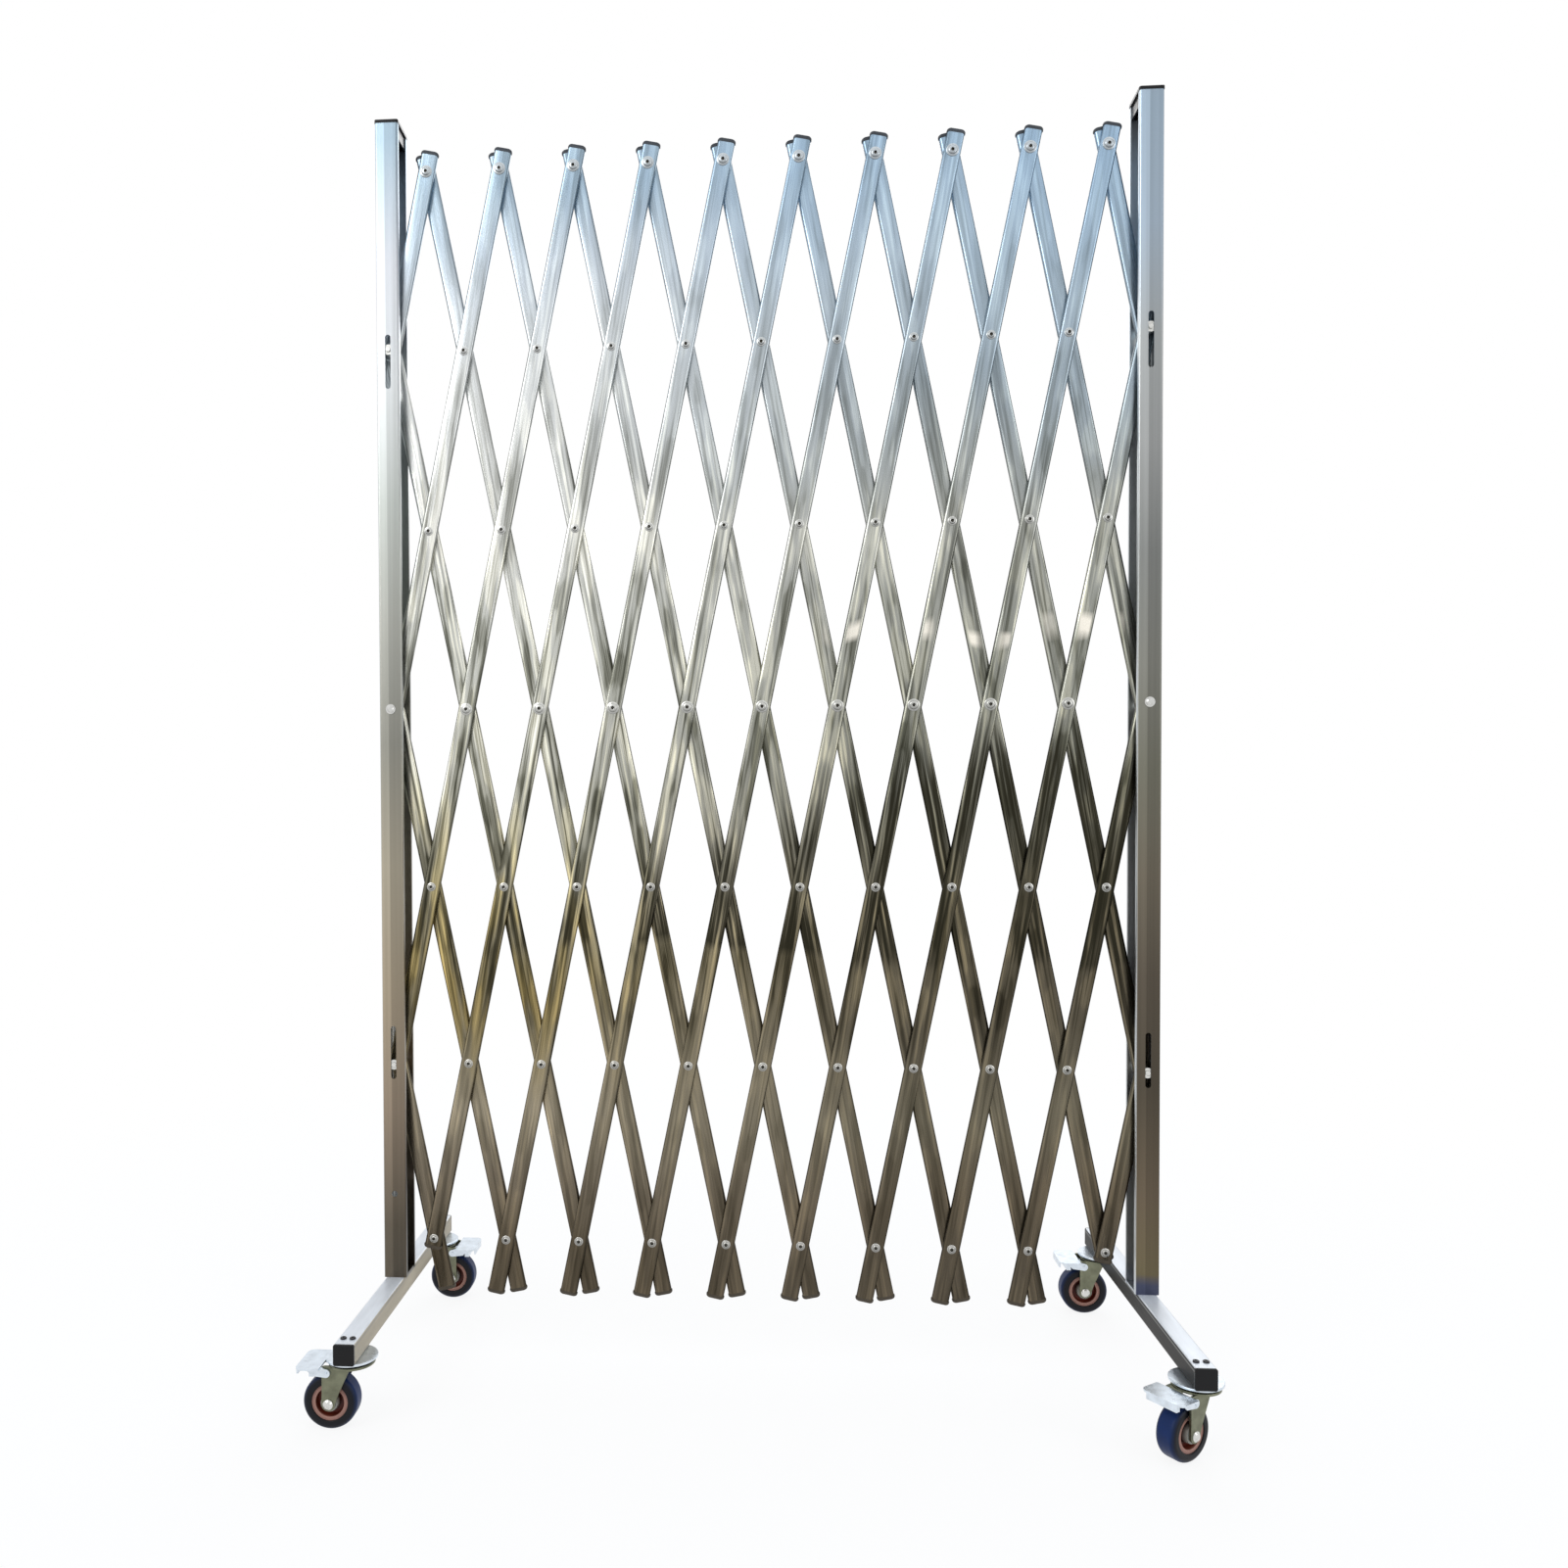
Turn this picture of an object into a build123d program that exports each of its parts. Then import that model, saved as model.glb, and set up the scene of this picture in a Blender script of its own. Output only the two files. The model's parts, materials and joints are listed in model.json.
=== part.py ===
from build123d import *
import os
from functools import cache
from math import asin, cos, degrees, radians, sin, sqrt

# Expandable crowd barrier: a riveted scissor lattice of flat steel tubes between two channel
# posts, each standing on a foot bar with two braked swivel casters. Millimetres, +Z up.
# X runs along the barrier, from the left post to the right one, and -Y faces the viewer.
# The pieces are modelled about the point on the floor midway between the posts, and moved
# at the end so that the origin lies on the floor under the middle of the whole barrier.

# Lattice: rivets stand on rows 1 (top) to 7 (bottom), half a column apart from row to row
columns = 10
rows = 7
rest_span = 970.0             # between the two posts' pivot lines as it stands
rivet_pitch = 239.0           # from rivet to rivet along a slat
middle_row_height = 860.0     # of the fixed pivots in both posts above the floor
closed_lean = 6.0             # slats' angle from upright, pushed together
open_lean = 28.4              # and pulled apart

# Slats: flat rounded tube in two layers
slat_width = 22.0
slat_thickness = 8.0
slat_wall = 1.0
slat_corner = 3.2
layer_gap = 0.6               # between the front and the back layer
top_stub = 27.0               # past the top row of rivets
bottom_stub = 73.0            # past the bottom row
short_stub = 14.0             # the same beside the posts, where a long one would hit the foot
free_end_radius = 3.0         # corners of a slat's free end
post_end_gap = 0.4            # how much the round ends in the posts are drawn in

# Pivots
pivot_radius = 3.2            # rivets, bolts and sliding pins
running_gap = 0.08            # of a rivet in its hole
head_gap = 0.1                # under a head that turns against a slat
washer_radius = 6.4
wide_washer_radius = 8.0      # on the top and the middle row
washer_thickness = 1.0
rivet_head_radius = 4.6
rivet_head_height = 1.8
head_flat = 0.65              # share of a domed head's radius that is flat
head_side = 0.4               # share of its height that stands straight
sleeve_radius = 6.6           # spacer sleeves in the posts
sleeve_gap = 0.3
pin_stand_out = 0.6           # of a sliding pin's end past the post

# Posts: lipped channel, open towards the lattice
post_width = 30.0
post_depth = 45.0
post_wall = 1.5
post_lip = 6.0
post_corner = 2.6
post_top = 1620.0             # above the floor, without the cap
base_plate = 3.0
slot_gap = 0.35               # between a pin and its slot
slot_spare_closed = 8.0       # left of a slot past its pin when the lattice is pushed together
slot_spare_open = 0.6         # and when it is pulled apart
link_hole_radius = 4.0
link_hole_height = 221.0
link_post = -1                # the post with the link hole: -1 left, 1 right
cap_plate = 4.0
cap_overhang = 0.6
cap_insert = 16.0
cap_gap = 0.2
cap_wall = 2.5
cap_insert_corner = 1.0

# Feet: square tube lying front to back, plugged at both ends
bar_side = 25.0
bar_wall = 1.5
bar_corner = 2.5
bar_length = 460.0
plug_flange = 3.0
plug_insert = 11.0
plug_gap = 0.15
plug_edge = 1.0
bolt_radius = 4.0             # bolt that holds a post on its foot
bolt_gap = 0.2
bolt_head_radius = 7.0
bolt_head_height = 4.5
bolt_end = 1.5                # of a bolt past its nut

# Casters
wheel_radius = 32.5
tyre_width = 25.0
tyre_corner = 6.0
core_radius = 21.6            # where the tyre sits on the core
core_width = 22.0
core_rim = 4.4
core_web = 8.0
core_slope = 1.5              # draft of the rim and the hub
hub_radius = 10.0
hub_width = 27.0
axle_radius = 4.0
bush_radius = 6.0
bush_gap = 0.08
axle_head_radius = 6.0
axle_head_height = 3.2
axle_nut_radius = 7.2
axle_nut_height = 4.0
axle_end = 6.0                # of the axle past the fork
trail = 24.0                  # from the kingpin to the axle
kingpin_reach = 200.0         # from the post to each kingpin, along the foot
caster_height = 85.0          # from the floor to the underside of the bar
plate_radius = 30.0
plate_thickness = 2.5
plate_edge = 0.6
race_space = 3.5              # between the fixed plate and the crown
ball_count = 18
ball_radius = 2.0
race_radius = 21.0
groove_gap = 0.3
kingpin_radius = 4.5
kingpin_head_radius = 8.0
kingpin_head_height = 2.5
kingpin_edge = 1.2
fork_thickness = 2.5
crown_radius = 27.0
crown_edge = 1.0
leg_gap = 1.2                 # between the hub and each leg
leg_foot_radius = 8.0
leg_front = 3.0               # leg's top, ahead of the kingpin
leg_back = 31.5               # and behind it
leg_neck_back = 11.0          # where the leg's front edge turns down to the axle
leg_neck_height = 46.0
pedal_pin_back = 26.0         # pedal's hinge behind the kingpin
pedal_pin_height = 70.0
pedal_pin_radius = 2.0
pedal_pin_gap = 0.1
pedal_pin_end = 1.0           # of the pin past each arm
pedal_eye_radius = 5.0        # round end of each arm on the hinge
pedal_arm_gap = 0.4           # between an arm and the fork's leg
pedal_arm_back = 42.0         # arm's lower corner, behind the kingpin
pedal_arm_drop = 9.0          # and under the plate
pedal_width = 54.0
pedal_start = 32.0            # plate of the pedal, behind the kingpin
pedal_end = 61.0
pedal_height = 76.0           # underside of the pedal's plate
pedal_sheet = 2.0
pedal_lip = 7.0
pedal_corner = 8.0
pedal_press = 7.0             # degrees down to the locked place
shoe_back = 46.0              # brake shoe behind the kingpin
shoe_length = 6.0
shoe_width = 22.0
shoe_clearance = 0.5          # left between the shoe and the tyre when pressed
screw_radius = 2.0
screw_head_radius = 3.6
screw_head_height = 2.0
screw_edge = 0.9
screw_offset = 5.5            # each side of the bar's middle
screw_ahead = 15.0            # from the kingpin towards the bar's end
screw_gap = 0.15
screw_end_gap = 0.2           # from a screw's end to the underside of its plate
socket_radius = 1.6
socket_depth = 1.2

cut_past = 1.0                # how far a cut runs past what it cuts

# Each caster's place and the way it trails, in degrees from pointing at -X
caster_places = {
    "front_left": (-1, -1, 0.0),
    "rear_left": (-1, 1, 180.0),
    "front_right": (1, -1, 35.0),
    "rear_right": (1, 1, 0.0),
}

# Worked-out sizes
last_column = 2 * columns     # half columns, counted from the left post
half_column = rest_span / last_column
rise = sqrt(rivet_pitch ** 2 - half_column ** 2)
lean = degrees(asin(half_column / rivet_pitch))
middle_row = (rows + 1) // 2
layer_centre = (layer_gap + slat_thickness) / 2
stack_half = layer_gap / 2 + slat_thickness
hole_radius = pivot_radius + running_gap
post_x = rest_span / 2
post_half_inside = post_depth / 2 - post_wall
bar_top = caster_height + bar_side
post_foot = bar_top + base_plate
closed_rise = rivet_pitch * cos(radians(closed_lean))
open_rise = rivet_pitch * cos(radians(open_lean))
slot_away = 2 * (closed_rise - rise) + pivot_radius + slot_spare_closed
slot_inwards = 2 * (rise - open_rise) + pivot_radius + slot_spare_open
plate_bottom = caster_height - plate_thickness
crown_top = plate_bottom - race_space
crown_bottom = crown_top - fork_thickness
leg_inside = hub_width / 2 + leg_gap
leg_outside = leg_inside + fork_thickness

os.makedirs("parts", exist_ok=True)
all_nodes = {}


def keep(name, *solids):
    """Keep a sub-part's solids under its name."""
    all_nodes[name] = list(solids)


def crossing(column, row):
    """Where a pivot stands, in X and Z."""
    return -post_x + column * half_column, middle_row_height + (middle_row - row) * rise


def along_y(radius, start, end, x=0.0, z=0.0):
    """Round bar lying front to back."""
    bar = extrude(Circle(radius), amount=end - start)
    return Pos(x, start, z) * Rot(-90, 0, 0) * bar


def upright(radius, bottom, top, x=0.0, y=0.0):
    """Round bar standing up."""
    return Pos(x, y, bottom) * extrude(Circle(radius), amount=top - bottom)


def ring_along_y(outer, inner, start, end, x=0.0, z=0.0):
    """Tube lying front to back."""
    ring = extrude(Circle(outer) - Circle(inner), amount=end - start)
    return Pos(x, start, z) * Rot(-90, 0, 0) * ring


def turned_along_y(half_profile, x=0.0, z=0.0):
    """Solid of revolution about a Y axis, from points of radius and Y."""
    outline = make_face(Polyline([(r, y) for r, y in half_profile], close=True))
    return Pos(x, 0, z) * revolve(outline, Axis.Y)


# Slats

@cache
def slat_blank(pivot_count, lower_stub, upper_stub, lower_round, upper_round):
    """Flat tube standing on its lowest pivot, with its ends shaped and its holes drilled."""
    low = -lower_stub
    high = (pivot_count - 1) * rivet_pitch + upper_stub
    outline = Pos(0, (low + high) / 2) * Rectangle(slat_width, high - low)
    outline = fillet(outline.vertices().group_by(Axis.Y)[0], lower_round)
    outline = fillet(outline.vertices().group_by(Axis.Y)[-1], upper_round)
    shape = Pos(0, slat_thickness, 0) * Rot(90, 0, 0) * extrude(outline, amount=2 * slat_thickness)
    tube = RectangleRounded(slat_width, slat_thickness, slat_corner)
    tube -= RectangleRounded(slat_width - 2 * slat_wall, slat_thickness - 2 * slat_wall,
                             slat_corner - slat_wall)
    slat = (Pos(0, 0, low) * extrude(tube, amount=high - low)) & shape
    return slat - [along_y(hole_radius, -slat_thickness, slat_thickness, z=pivot * rivet_pitch)
                   for pivot in range(pivot_count)]


def place_slat(blank, column, row, layer, leaning):
    """Stand a slat on its lowest pivot, in its layer and at its angle."""
    x, z = crossing(column, row)
    return Pos(x, layer * layer_centre, z) * Rot(0, leaning, 0) * blank


def rivet(column, row):
    """Rivet with a broad front washer and a formed back head."""
    x, z = crossing(column, row)
    washer = wide_washer_radius if row in (1, middle_row) else washer_radius
    front = -stack_half
    back = stack_half + head_gap
    flat = head_flat * rivet_head_radius
    straight = head_side * rivet_head_height
    body = turned_along_y([
        (0, front - washer_thickness - rivet_head_height),
        (flat, front - washer_thickness - rivet_head_height),
        (rivet_head_radius, front - washer_thickness - straight),
        (rivet_head_radius, front - washer_thickness),
        (washer, front - washer_thickness),
        (washer, front),
        (pivot_radius, front),
        (pivot_radius, back),
        (rivet_head_radius, back),
        (rivet_head_radius, back + straight),
        (flat, back + rivet_head_height),
        (0, back + rivet_head_height)], x, z)
    return body


def sleeves(column, row):
    """Spacer sleeves each side of the slats, inside a post."""
    x, z = crossing(column, row)
    near, far = stack_half + head_gap, post_half_inside - sleeve_gap
    return [ring_along_y(sleeve_radius, hole_radius, near, far, x, z),
            ring_along_y(sleeve_radius, hole_radius, -far, -near, x, z)]


def sliding_pin(column, row):
    """Pin that joins two slats in a post and runs in the slots of both its flanges."""
    x, z = crossing(column, row)
    end = post_depth / 2 + pin_stand_out
    return along_y(pivot_radius, -end, end, x, z)


def pivots_of(slat_sum, rising):
    """Crossings of one slat from its lowest to its highest."""
    points = []
    for row in range(rows, 0, -1):
        column = slat_sum - row if rising else slat_sum + row
        if 0 <= column <= last_column and (column + row) % 2 == 0:
            points.append((column, row))
    return points


def stub(column, row, rising):
    """How far a slat runs past its end pivot, and its end's corner radius."""
    if column in (0, last_column):
        end_radius = slat_width / 2 - post_end_gap
        return end_radius, end_radius
    if row == 1:
        return top_stub, free_end_radius
    beside_left = column == 1 and rising
    beside_right = column == last_column - 1
    if beside_left or beside_right:
        return short_stub, free_end_radius
    return bottom_stub, free_end_radius


front_slats = []              # node name and its crossings, used by both layers' loops
back_slats = []
for index, slat_sum in enumerate(range(2, last_column + rows, 2), 1):
    front_slats.append((f"front_slat_{index:02d}", pivots_of(slat_sum, True)))
for index, slat_sum in enumerate(range(1 - rows, last_column - 1, 2), 1):
    back_slats.append((f"back_slat_{index:02d}", pivots_of(slat_sum, False)))

for names_and_pivots, layer, side in ((front_slats, -1, 1), (back_slats, 1, -1)):
    for name, pivots in names_and_pivots:
        rising = layer == -1
        lower_stub, lower_round = stub(*pivots[0], rising)
        upper_stub, upper_round = stub(*pivots[-1], rising)
        blank = slat_blank(len(pivots), lower_stub, upper_stub, lower_round, upper_round)
        pieces = [place_slat(blank, *pivots[0], layer, side * lean)]
        if rising:
            for column, row in pivots:
                if column not in (0, last_column):
                    pieces.append(rivet(column, row))
                elif row != middle_row:
                    pieces += [sliding_pin(column, row)] + sleeves(column, row)
        keep(name, *pieces)


# Posts

def channel_section(side):
    """Lipped channel about its pivot line, its mouth facing away from its web."""
    section = RectangleRounded(post_width, post_depth, post_corner)
    section -= RectangleRounded(post_width - 2 * post_wall, post_depth - 2 * post_wall,
                                post_corner - post_wall)
    mouth = Rectangle(2 * post_wall + cut_past, post_depth - 2 * post_lip)
    return section - Pos(-side * (post_width / 2 - post_wall / 2), 0) * mouth


def slot_cut(z_low, z_high):
    """Upright slot through both flanges."""
    radius = pivot_radius + slot_gap
    slot = Pos(0, (z_low + z_high) / 2) * Rot(0, 0, 90) * SlotOverall(z_high - z_low, 2 * radius)
    return Pos(0, post_depth, 0) * Rot(90, 0, 0) * extrude(slot, amount=2 * post_depth)


def post(side):
    """Post with its base plate, its slots and its holes."""
    body = Pos(0, 0, bar_top) * extrude(channel_section(side), amount=post_top - bar_top)
    body += Pos(0, 0, bar_top) * extrude(
        RectangleRounded(post_width - post_wall, post_depth - post_wall, post_corner),
        amount=base_plate)
    middle = middle_row_height
    body -= along_y(hole_radius, -post_depth, post_depth, z=middle)
    body -= slot_cut(middle + 2 * rise - slot_inwards, middle + 2 * rise + slot_away)
    body -= slot_cut(middle - 2 * rise - slot_away, middle - 2 * rise + slot_inwards)
    body -= upright(bolt_radius + bolt_gap, bar_top - cut_past, post_foot + cut_past)
    if side == link_post:
        body -= along_y(link_hole_radius, -post_depth, post_depth, z=link_hole_height)
    return Pos(side * post_x, 0, 0) * body


def post_cap(side):
    """Plastic cap: a plate on the post's end with a hollow insert inside the channel."""
    plate = Pos(0, 0, post_top) * extrude(
        RectangleRounded(post_width + 2 * cap_overhang, post_depth + 2 * cap_overhang,
                         post_corner), amount=cap_plate)
    plate = fillet(plate.edges().group_by(Axis.Z)[-1], cap_overhang)
    inside_width = post_width - 2 * post_wall - 2 * cap_gap
    inside_depth = post_depth - 2 * post_wall - 2 * cap_gap
    insert = RectangleRounded(inside_width, inside_depth, cap_insert_corner)
    insert -= RectangleRounded(inside_width - 2 * cap_wall, inside_depth - 2 * cap_wall,
                               cap_insert_corner)
    skirt = Pos(0, 0, post_top - cap_insert) * extrude(insert, amount=cap_insert)
    return Pos(side * post_x, 0, 0) * (plate + skirt)


# Feet

def tube_along_y(side_length, wall, corner, length):
    """Square tube lying front to back, about its own middle."""
    section = RectangleRounded(side_length, side_length, corner)
    inner = side_length - 2 * wall
    section -= RectangleRounded(inner, inner, corner - wall)
    return Pos(0, length / 2, 0) * Rot(90, 0, 0) * extrude(section, amount=length)


def screw_places(end):
    """The two screws that hold the caster at one end of a foot."""
    y = end * (kingpin_reach + screw_ahead)
    return [(-screw_offset, y), (screw_offset, y)]


def foot_bar(side):
    """Square tube with the holes for its post's bolt and its casters' screws."""
    bar = tube_along_y(bar_side, bar_wall, bar_corner, bar_length)
    bar = Pos(0, 0, caster_height + bar_side / 2) * bar
    low, high = caster_height - cut_past, bar_top + cut_past
    bar -= upright(bolt_radius + bolt_gap, low, high)
    for end in (-1, 1):
        for x, y in screw_places(end):
            bar -= upright(screw_radius + screw_gap, low, high, x, y)
    return Pos(side * post_x, 0, 0) * bar


def foot_plug(side, end):
    """Square plastic plug: a flange on the tube's end and a hollow insert."""
    flange = extrude(RectangleRounded(bar_side, bar_side, bar_corner), amount=plug_flange)
    flange = fillet(flange.edges().group_by(Axis.Z)[-1], plug_edge)
    inside = bar_side - 2 * bar_wall - 2 * plug_gap
    insert = RectangleRounded(inside, inside, bar_corner - bar_wall)
    insert -= Rectangle(inside - 2 * cap_wall, inside - 2 * cap_wall)
    plug = flange + Pos(0, 0, -plug_insert) * extrude(insert, amount=plug_insert)
    plug = Rot(90, 0, 0) * plug if end < 0 else Rot(-90, 0, 0) * plug
    return Pos(side * post_x, end * bar_length / 2, caster_height + bar_side / 2) * plug


def hexagon(radius, height):
    """Hexagonal head or nut, its radius taken at the corners."""
    return extrude(RegularPolygon(radius, 6), amount=height)


def foot_bolt(side):
    """Bolt up through the foot and the post's base plate, with its nut."""
    x = side * post_x
    top = post_foot + bolt_head_height + bolt_end
    bolt = upright(bolt_radius, caster_height, top)
    bolt += Pos(0, 0, caster_height - bolt_head_height) * hexagon(bolt_head_radius, bolt_head_height)
    nut = Pos(0, 0, post_foot) * hexagon(bolt_head_radius, bolt_head_height)
    nut -= upright(bolt_radius + running_gap, post_foot - cut_past, top)
    return [Pos(x, 0, 0) * bolt, Pos(x, 0, 0) * nut]


def post_bolt(side):
    """Bolt through the fixed pivots of the middle row, with its washers and nut."""
    column = 0 if side < 0 else last_column
    x, z = crossing(column, middle_row)
    face = post_depth / 2
    washer = face + washer_thickness
    end = washer + bolt_head_height + bolt_end
    bolt = turned_along_y([
        (0, -washer - rivet_head_height), (head_flat * rivet_head_radius, -washer - rivet_head_height),
        (rivet_head_radius, -washer - head_side * rivet_head_height), (rivet_head_radius, -washer),
        (pivot_radius, -washer), (pivot_radius, end), (0, end)], x, z)
    nut = Pos(x, washer, z) * Rot(-90, 0, 0) * hexagon(washer_radius, bolt_head_height)
    nut -= along_y(hole_radius, washer - cut_past, end, x, z)
    washers = [ring_along_y(washer_radius, hole_radius, -washer, -face, x, z),
               ring_along_y(washer_radius, hole_radius, face, washer, x, z)]
    return [bolt, nut] + washers + sleeves(column, middle_row)


def caster_screws(side):
    """Screws down through the foot into the casters' plates."""
    screws = []
    for end in (-1, 1):
        for x, y in screw_places(end):
            screw = upright(screw_radius, plate_bottom + screw_end_gap, bar_top)
            head = upright(screw_head_radius, bar_top, bar_top + screw_head_height)
            head = fillet(head.edges().group_by(Axis.Z)[-1], screw_edge)
            socket = Pos(0, 0, bar_top + screw_head_height - socket_depth) * hexagon(
                socket_radius, screw_head_height)
            screws.append(Pos(side * post_x + x, y, 0) * (screw + head - socket))
    return screws


# Casters, each about its kingpin and trailing towards -X

def race_groove():
    """Ring that both races are cut with."""
    ring = revolve(Pos(race_radius, 0) * Circle(ball_radius + groove_gap), Axis.Y)
    return Pos(0, 0, plate_bottom - race_space / 2) * Rot(90, 0, 0) * ring


def caster_plate(end):
    """Fixed round plate under the foot, with its race and its screw holes."""
    plate = upright(plate_radius, plate_bottom, caster_height)
    plate = fillet(plate.edges().group_by(Axis.Z)[-1], plate_edge)
    low, high = plate_bottom - cut_past, caster_height + cut_past
    plate -= upright(kingpin_radius + running_gap, low, high)
    for x, y in screw_places(end):
        plate -= upright(screw_radius + screw_gap, low, high, x, y - end * kingpin_reach)
    return plate - race_groove()


def kingpin():
    """Rivet that carries the fork, formed flush in the plate."""
    pin = upright(kingpin_radius, crown_bottom - head_gap, caster_height)
    head = upright(kingpin_head_radius, crown_bottom - head_gap - kingpin_head_height,
                   crown_bottom - head_gap)
    return pin + fillet(head.edges().group_by(Axis.Z)[0], kingpin_edge)


def swivel_balls():
    """Ring of balls between the plate and the crown."""
    z = plate_bottom - race_space / 2
    balls = []
    for index in range(ball_count):
        turn = radians(360 * index / ball_count)
        balls.append(Pos(race_radius * cos(turn), race_radius * sin(turn), z) * Sphere(ball_radius))
    return balls


def fork_leg():
    """Side of the fork, narrowing down to the axle, with its back corner holding the pedal's pin."""
    top = crown_bottom + fork_thickness / 2
    foot = Pos(-trail, wheel_radius) * Circle(leg_foot_radius)
    blade = make_face(Polyline([
        (leg_front, top), (leg_front, crown_bottom),
        (-leg_neck_back, leg_neck_height),
        (-trail + leg_foot_radius, wheel_radius),
        (-trail - leg_foot_radius, wheel_radius),
        (-leg_back, leg_neck_height), (-leg_back, crown_bottom),
        (-leg_back + fork_thickness, top)], close=True))
    leg = Rot(90, 0, 0) * extrude(blade + foot, amount=fork_thickness)
    return Pos(0, leg_outside, 0) * leg


def fork():
    """Pressed fork: a round crown with two legs bent down from it."""
    crown = upright(crown_radius, crown_bottom, crown_top)
    crown = fillet(crown.edges().group_by(Axis.Z)[-1], crown_edge)
    body = crown + fork_leg() + mirror(fork_leg(), Plane.XZ)
    body -= along_y(axle_radius + running_gap, -2 * tyre_width, 2 * tyre_width, -trail, wheel_radius)
    body -= along_y(pedal_pin_radius + pedal_pin_gap, -2 * tyre_width, 2 * tyre_width,
                    -pedal_pin_back, pedal_pin_height)
    body -= upright(kingpin_radius + running_gap, crown_bottom - cut_past, crown_top + cut_past)
    return body - race_groove()


def tyre():
    """Solid tyre with a crowned tread and a lip that grips the core."""
    half = tyre_width / 2
    section = Pos((wheel_radius + core_radius) / 2, 0) * Rectangle(
        wheel_radius - core_radius, tyre_width)
    section = fillet(section.vertices().group_by(Axis.X)[-1], tyre_corner)
    section = fillet(section.vertices().group_by(Axis.X)[0], half - core_width / 2)
    return Pos(-trail, 0, wheel_radius) * revolve(section, Axis.Y)


def wheel_core():
    """Moulded wheel centre: a rim, a thin web and a hub bored for its bush."""
    rim = core_width / 2
    web = core_web / 2
    hub = hub_width / 2
    bore = bush_radius + bush_gap
    inner = core_radius - core_rim
    points = [(bore, hub), (hub_radius, hub), (hub_radius + core_slope, web),
              (inner - core_slope, web), (inner, rim), (core_radius, rim)]
    other_side = [(r, -y) for r, y in reversed(points)]
    return turned_along_y(points + other_side, -trail, wheel_radius)


def axle():
    """Axle bolt with its bush and nut."""
    bush_end = leg_inside - bush_gap
    head, end = -leg_outside - axle_head_height, leg_outside + axle_end
    bolt = turned_along_y([
        (0, head), (head_flat * axle_head_radius, head),
        (axle_head_radius, -leg_outside - head_side * axle_head_height),
        (axle_head_radius, -leg_outside),
        (axle_radius, -leg_outside), (axle_radius, end), (0, end)], -trail, wheel_radius)
    bush = ring_along_y(bush_radius, axle_radius + bush_gap, -bush_end, bush_end, -trail, wheel_radius)
    nut = Pos(-trail, leg_outside, wheel_radius) * Rot(-90, 0, 0) * hexagon(
        axle_nut_radius, axle_nut_height)
    nut -= along_y(axle_radius + running_gap, leg_outside - cut_past, end, -trail, wheel_radius)
    return [bolt, bush, nut]


def shoe_bottom():
    """Height of the shoe's underside that just clears the tyre when pressed."""
    near, far = shoe_back - shoe_length / 2, shoe_back + shoe_length / 2
    tyre_top = wheel_radius + sqrt(wheel_radius ** 2 - (near - trail) ** 2)
    drop = (far - pedal_pin_back) * sin(radians(pedal_press))
    return tyre_top + drop + shoe_clearance


def pedal():
    """Brake pedal: a broad plate with a turned-down lip, two arms, a pin and a shoe."""
    length = pedal_end - pedal_start
    plate = Pos(-(pedal_start + pedal_end) / 2, 0) * Rectangle(length, pedal_width)
    plate = fillet(plate.vertices().group_by(Axis.X)[0], pedal_corner)
    body = Pos(0, 0, pedal_height) * extrude(plate, amount=pedal_sheet)
    lip = Pos(-pedal_end + pedal_sheet / 2, 0) * Rectangle(pedal_sheet, pedal_width - 2 * pedal_corner)
    body += Pos(0, 0, pedal_height - pedal_lip) * extrude(lip, amount=pedal_lip)
    inside = pedal_height + pedal_sheet / 2
    arm = make_face(Polyline([
        (-pedal_start, inside), (-pedal_end + pedal_corner, inside),
        (-pedal_arm_back, pedal_height - pedal_arm_drop),
        (-pedal_pin_back, pedal_pin_height - pedal_eye_radius),
        (-pedal_pin_back, pedal_pin_height + pedal_eye_radius)], close=True))
    arm += Pos(-pedal_pin_back, pedal_pin_height) * Circle(pedal_eye_radius)
    arm = Rot(90, 0, 0) * extrude(arm, amount=pedal_sheet)
    arm_inside = leg_outside + pedal_arm_gap
    arm_outside = arm_inside + pedal_sheet
    for y in (arm_outside, -arm_inside):
        body += Pos(0, y, 0) * arm
    shoe_height = pedal_height - shoe_bottom()
    body += Pos(-shoe_back, 0, pedal_height - shoe_height / 2) * Box(
        shoe_length, shoe_width, shoe_height)
    body += along_y(pedal_pin_radius, -arm_outside - pedal_pin_end, arm_outside + pedal_pin_end,
                    -pedal_pin_back, pedal_pin_height)
    return body


# Assembly

for word, side in (("left", -1), ("right", 1)):
    keep(f"{word}_post", post(side))
    keep(f"{word}_post_cap", post_cap(side))
    keep(f"{word}_foot_bar", foot_bar(side))
    keep(f"{word}_foot_plugs", foot_plug(side, -1), foot_plug(side, 1))
    keep(f"{word}_fasteners", *post_bolt(side), *foot_bolt(side), *caster_screws(side))
    plates, bearings = [], []
    for end in (-1, 1):
        at = Pos(side * post_x, end * kingpin_reach, 0)
        plates.append(at * caster_plate(end))
        bearings += [at * piece for piece in [kingpin()] + swivel_balls()]
    keep(f"{word}_caster_plates", *plates)
    keep(f"{word}_swivel_bearings", *bearings)

for name, (side, end, heading) in caster_places.items():
    at = Pos(side * post_x, end * kingpin_reach, 0) * Rot(0, 0, heading)
    keep(f"{name}_fork", at * fork())
    keep(f"{name}_axle", *[at * piece for piece in axle()])
    keep(f"{name}_tyre", at * tyre())
    keep(f"{name}_wheel_core", at * wheel_core())
    keep(f"{name}_pedal", at * pedal())

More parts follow.
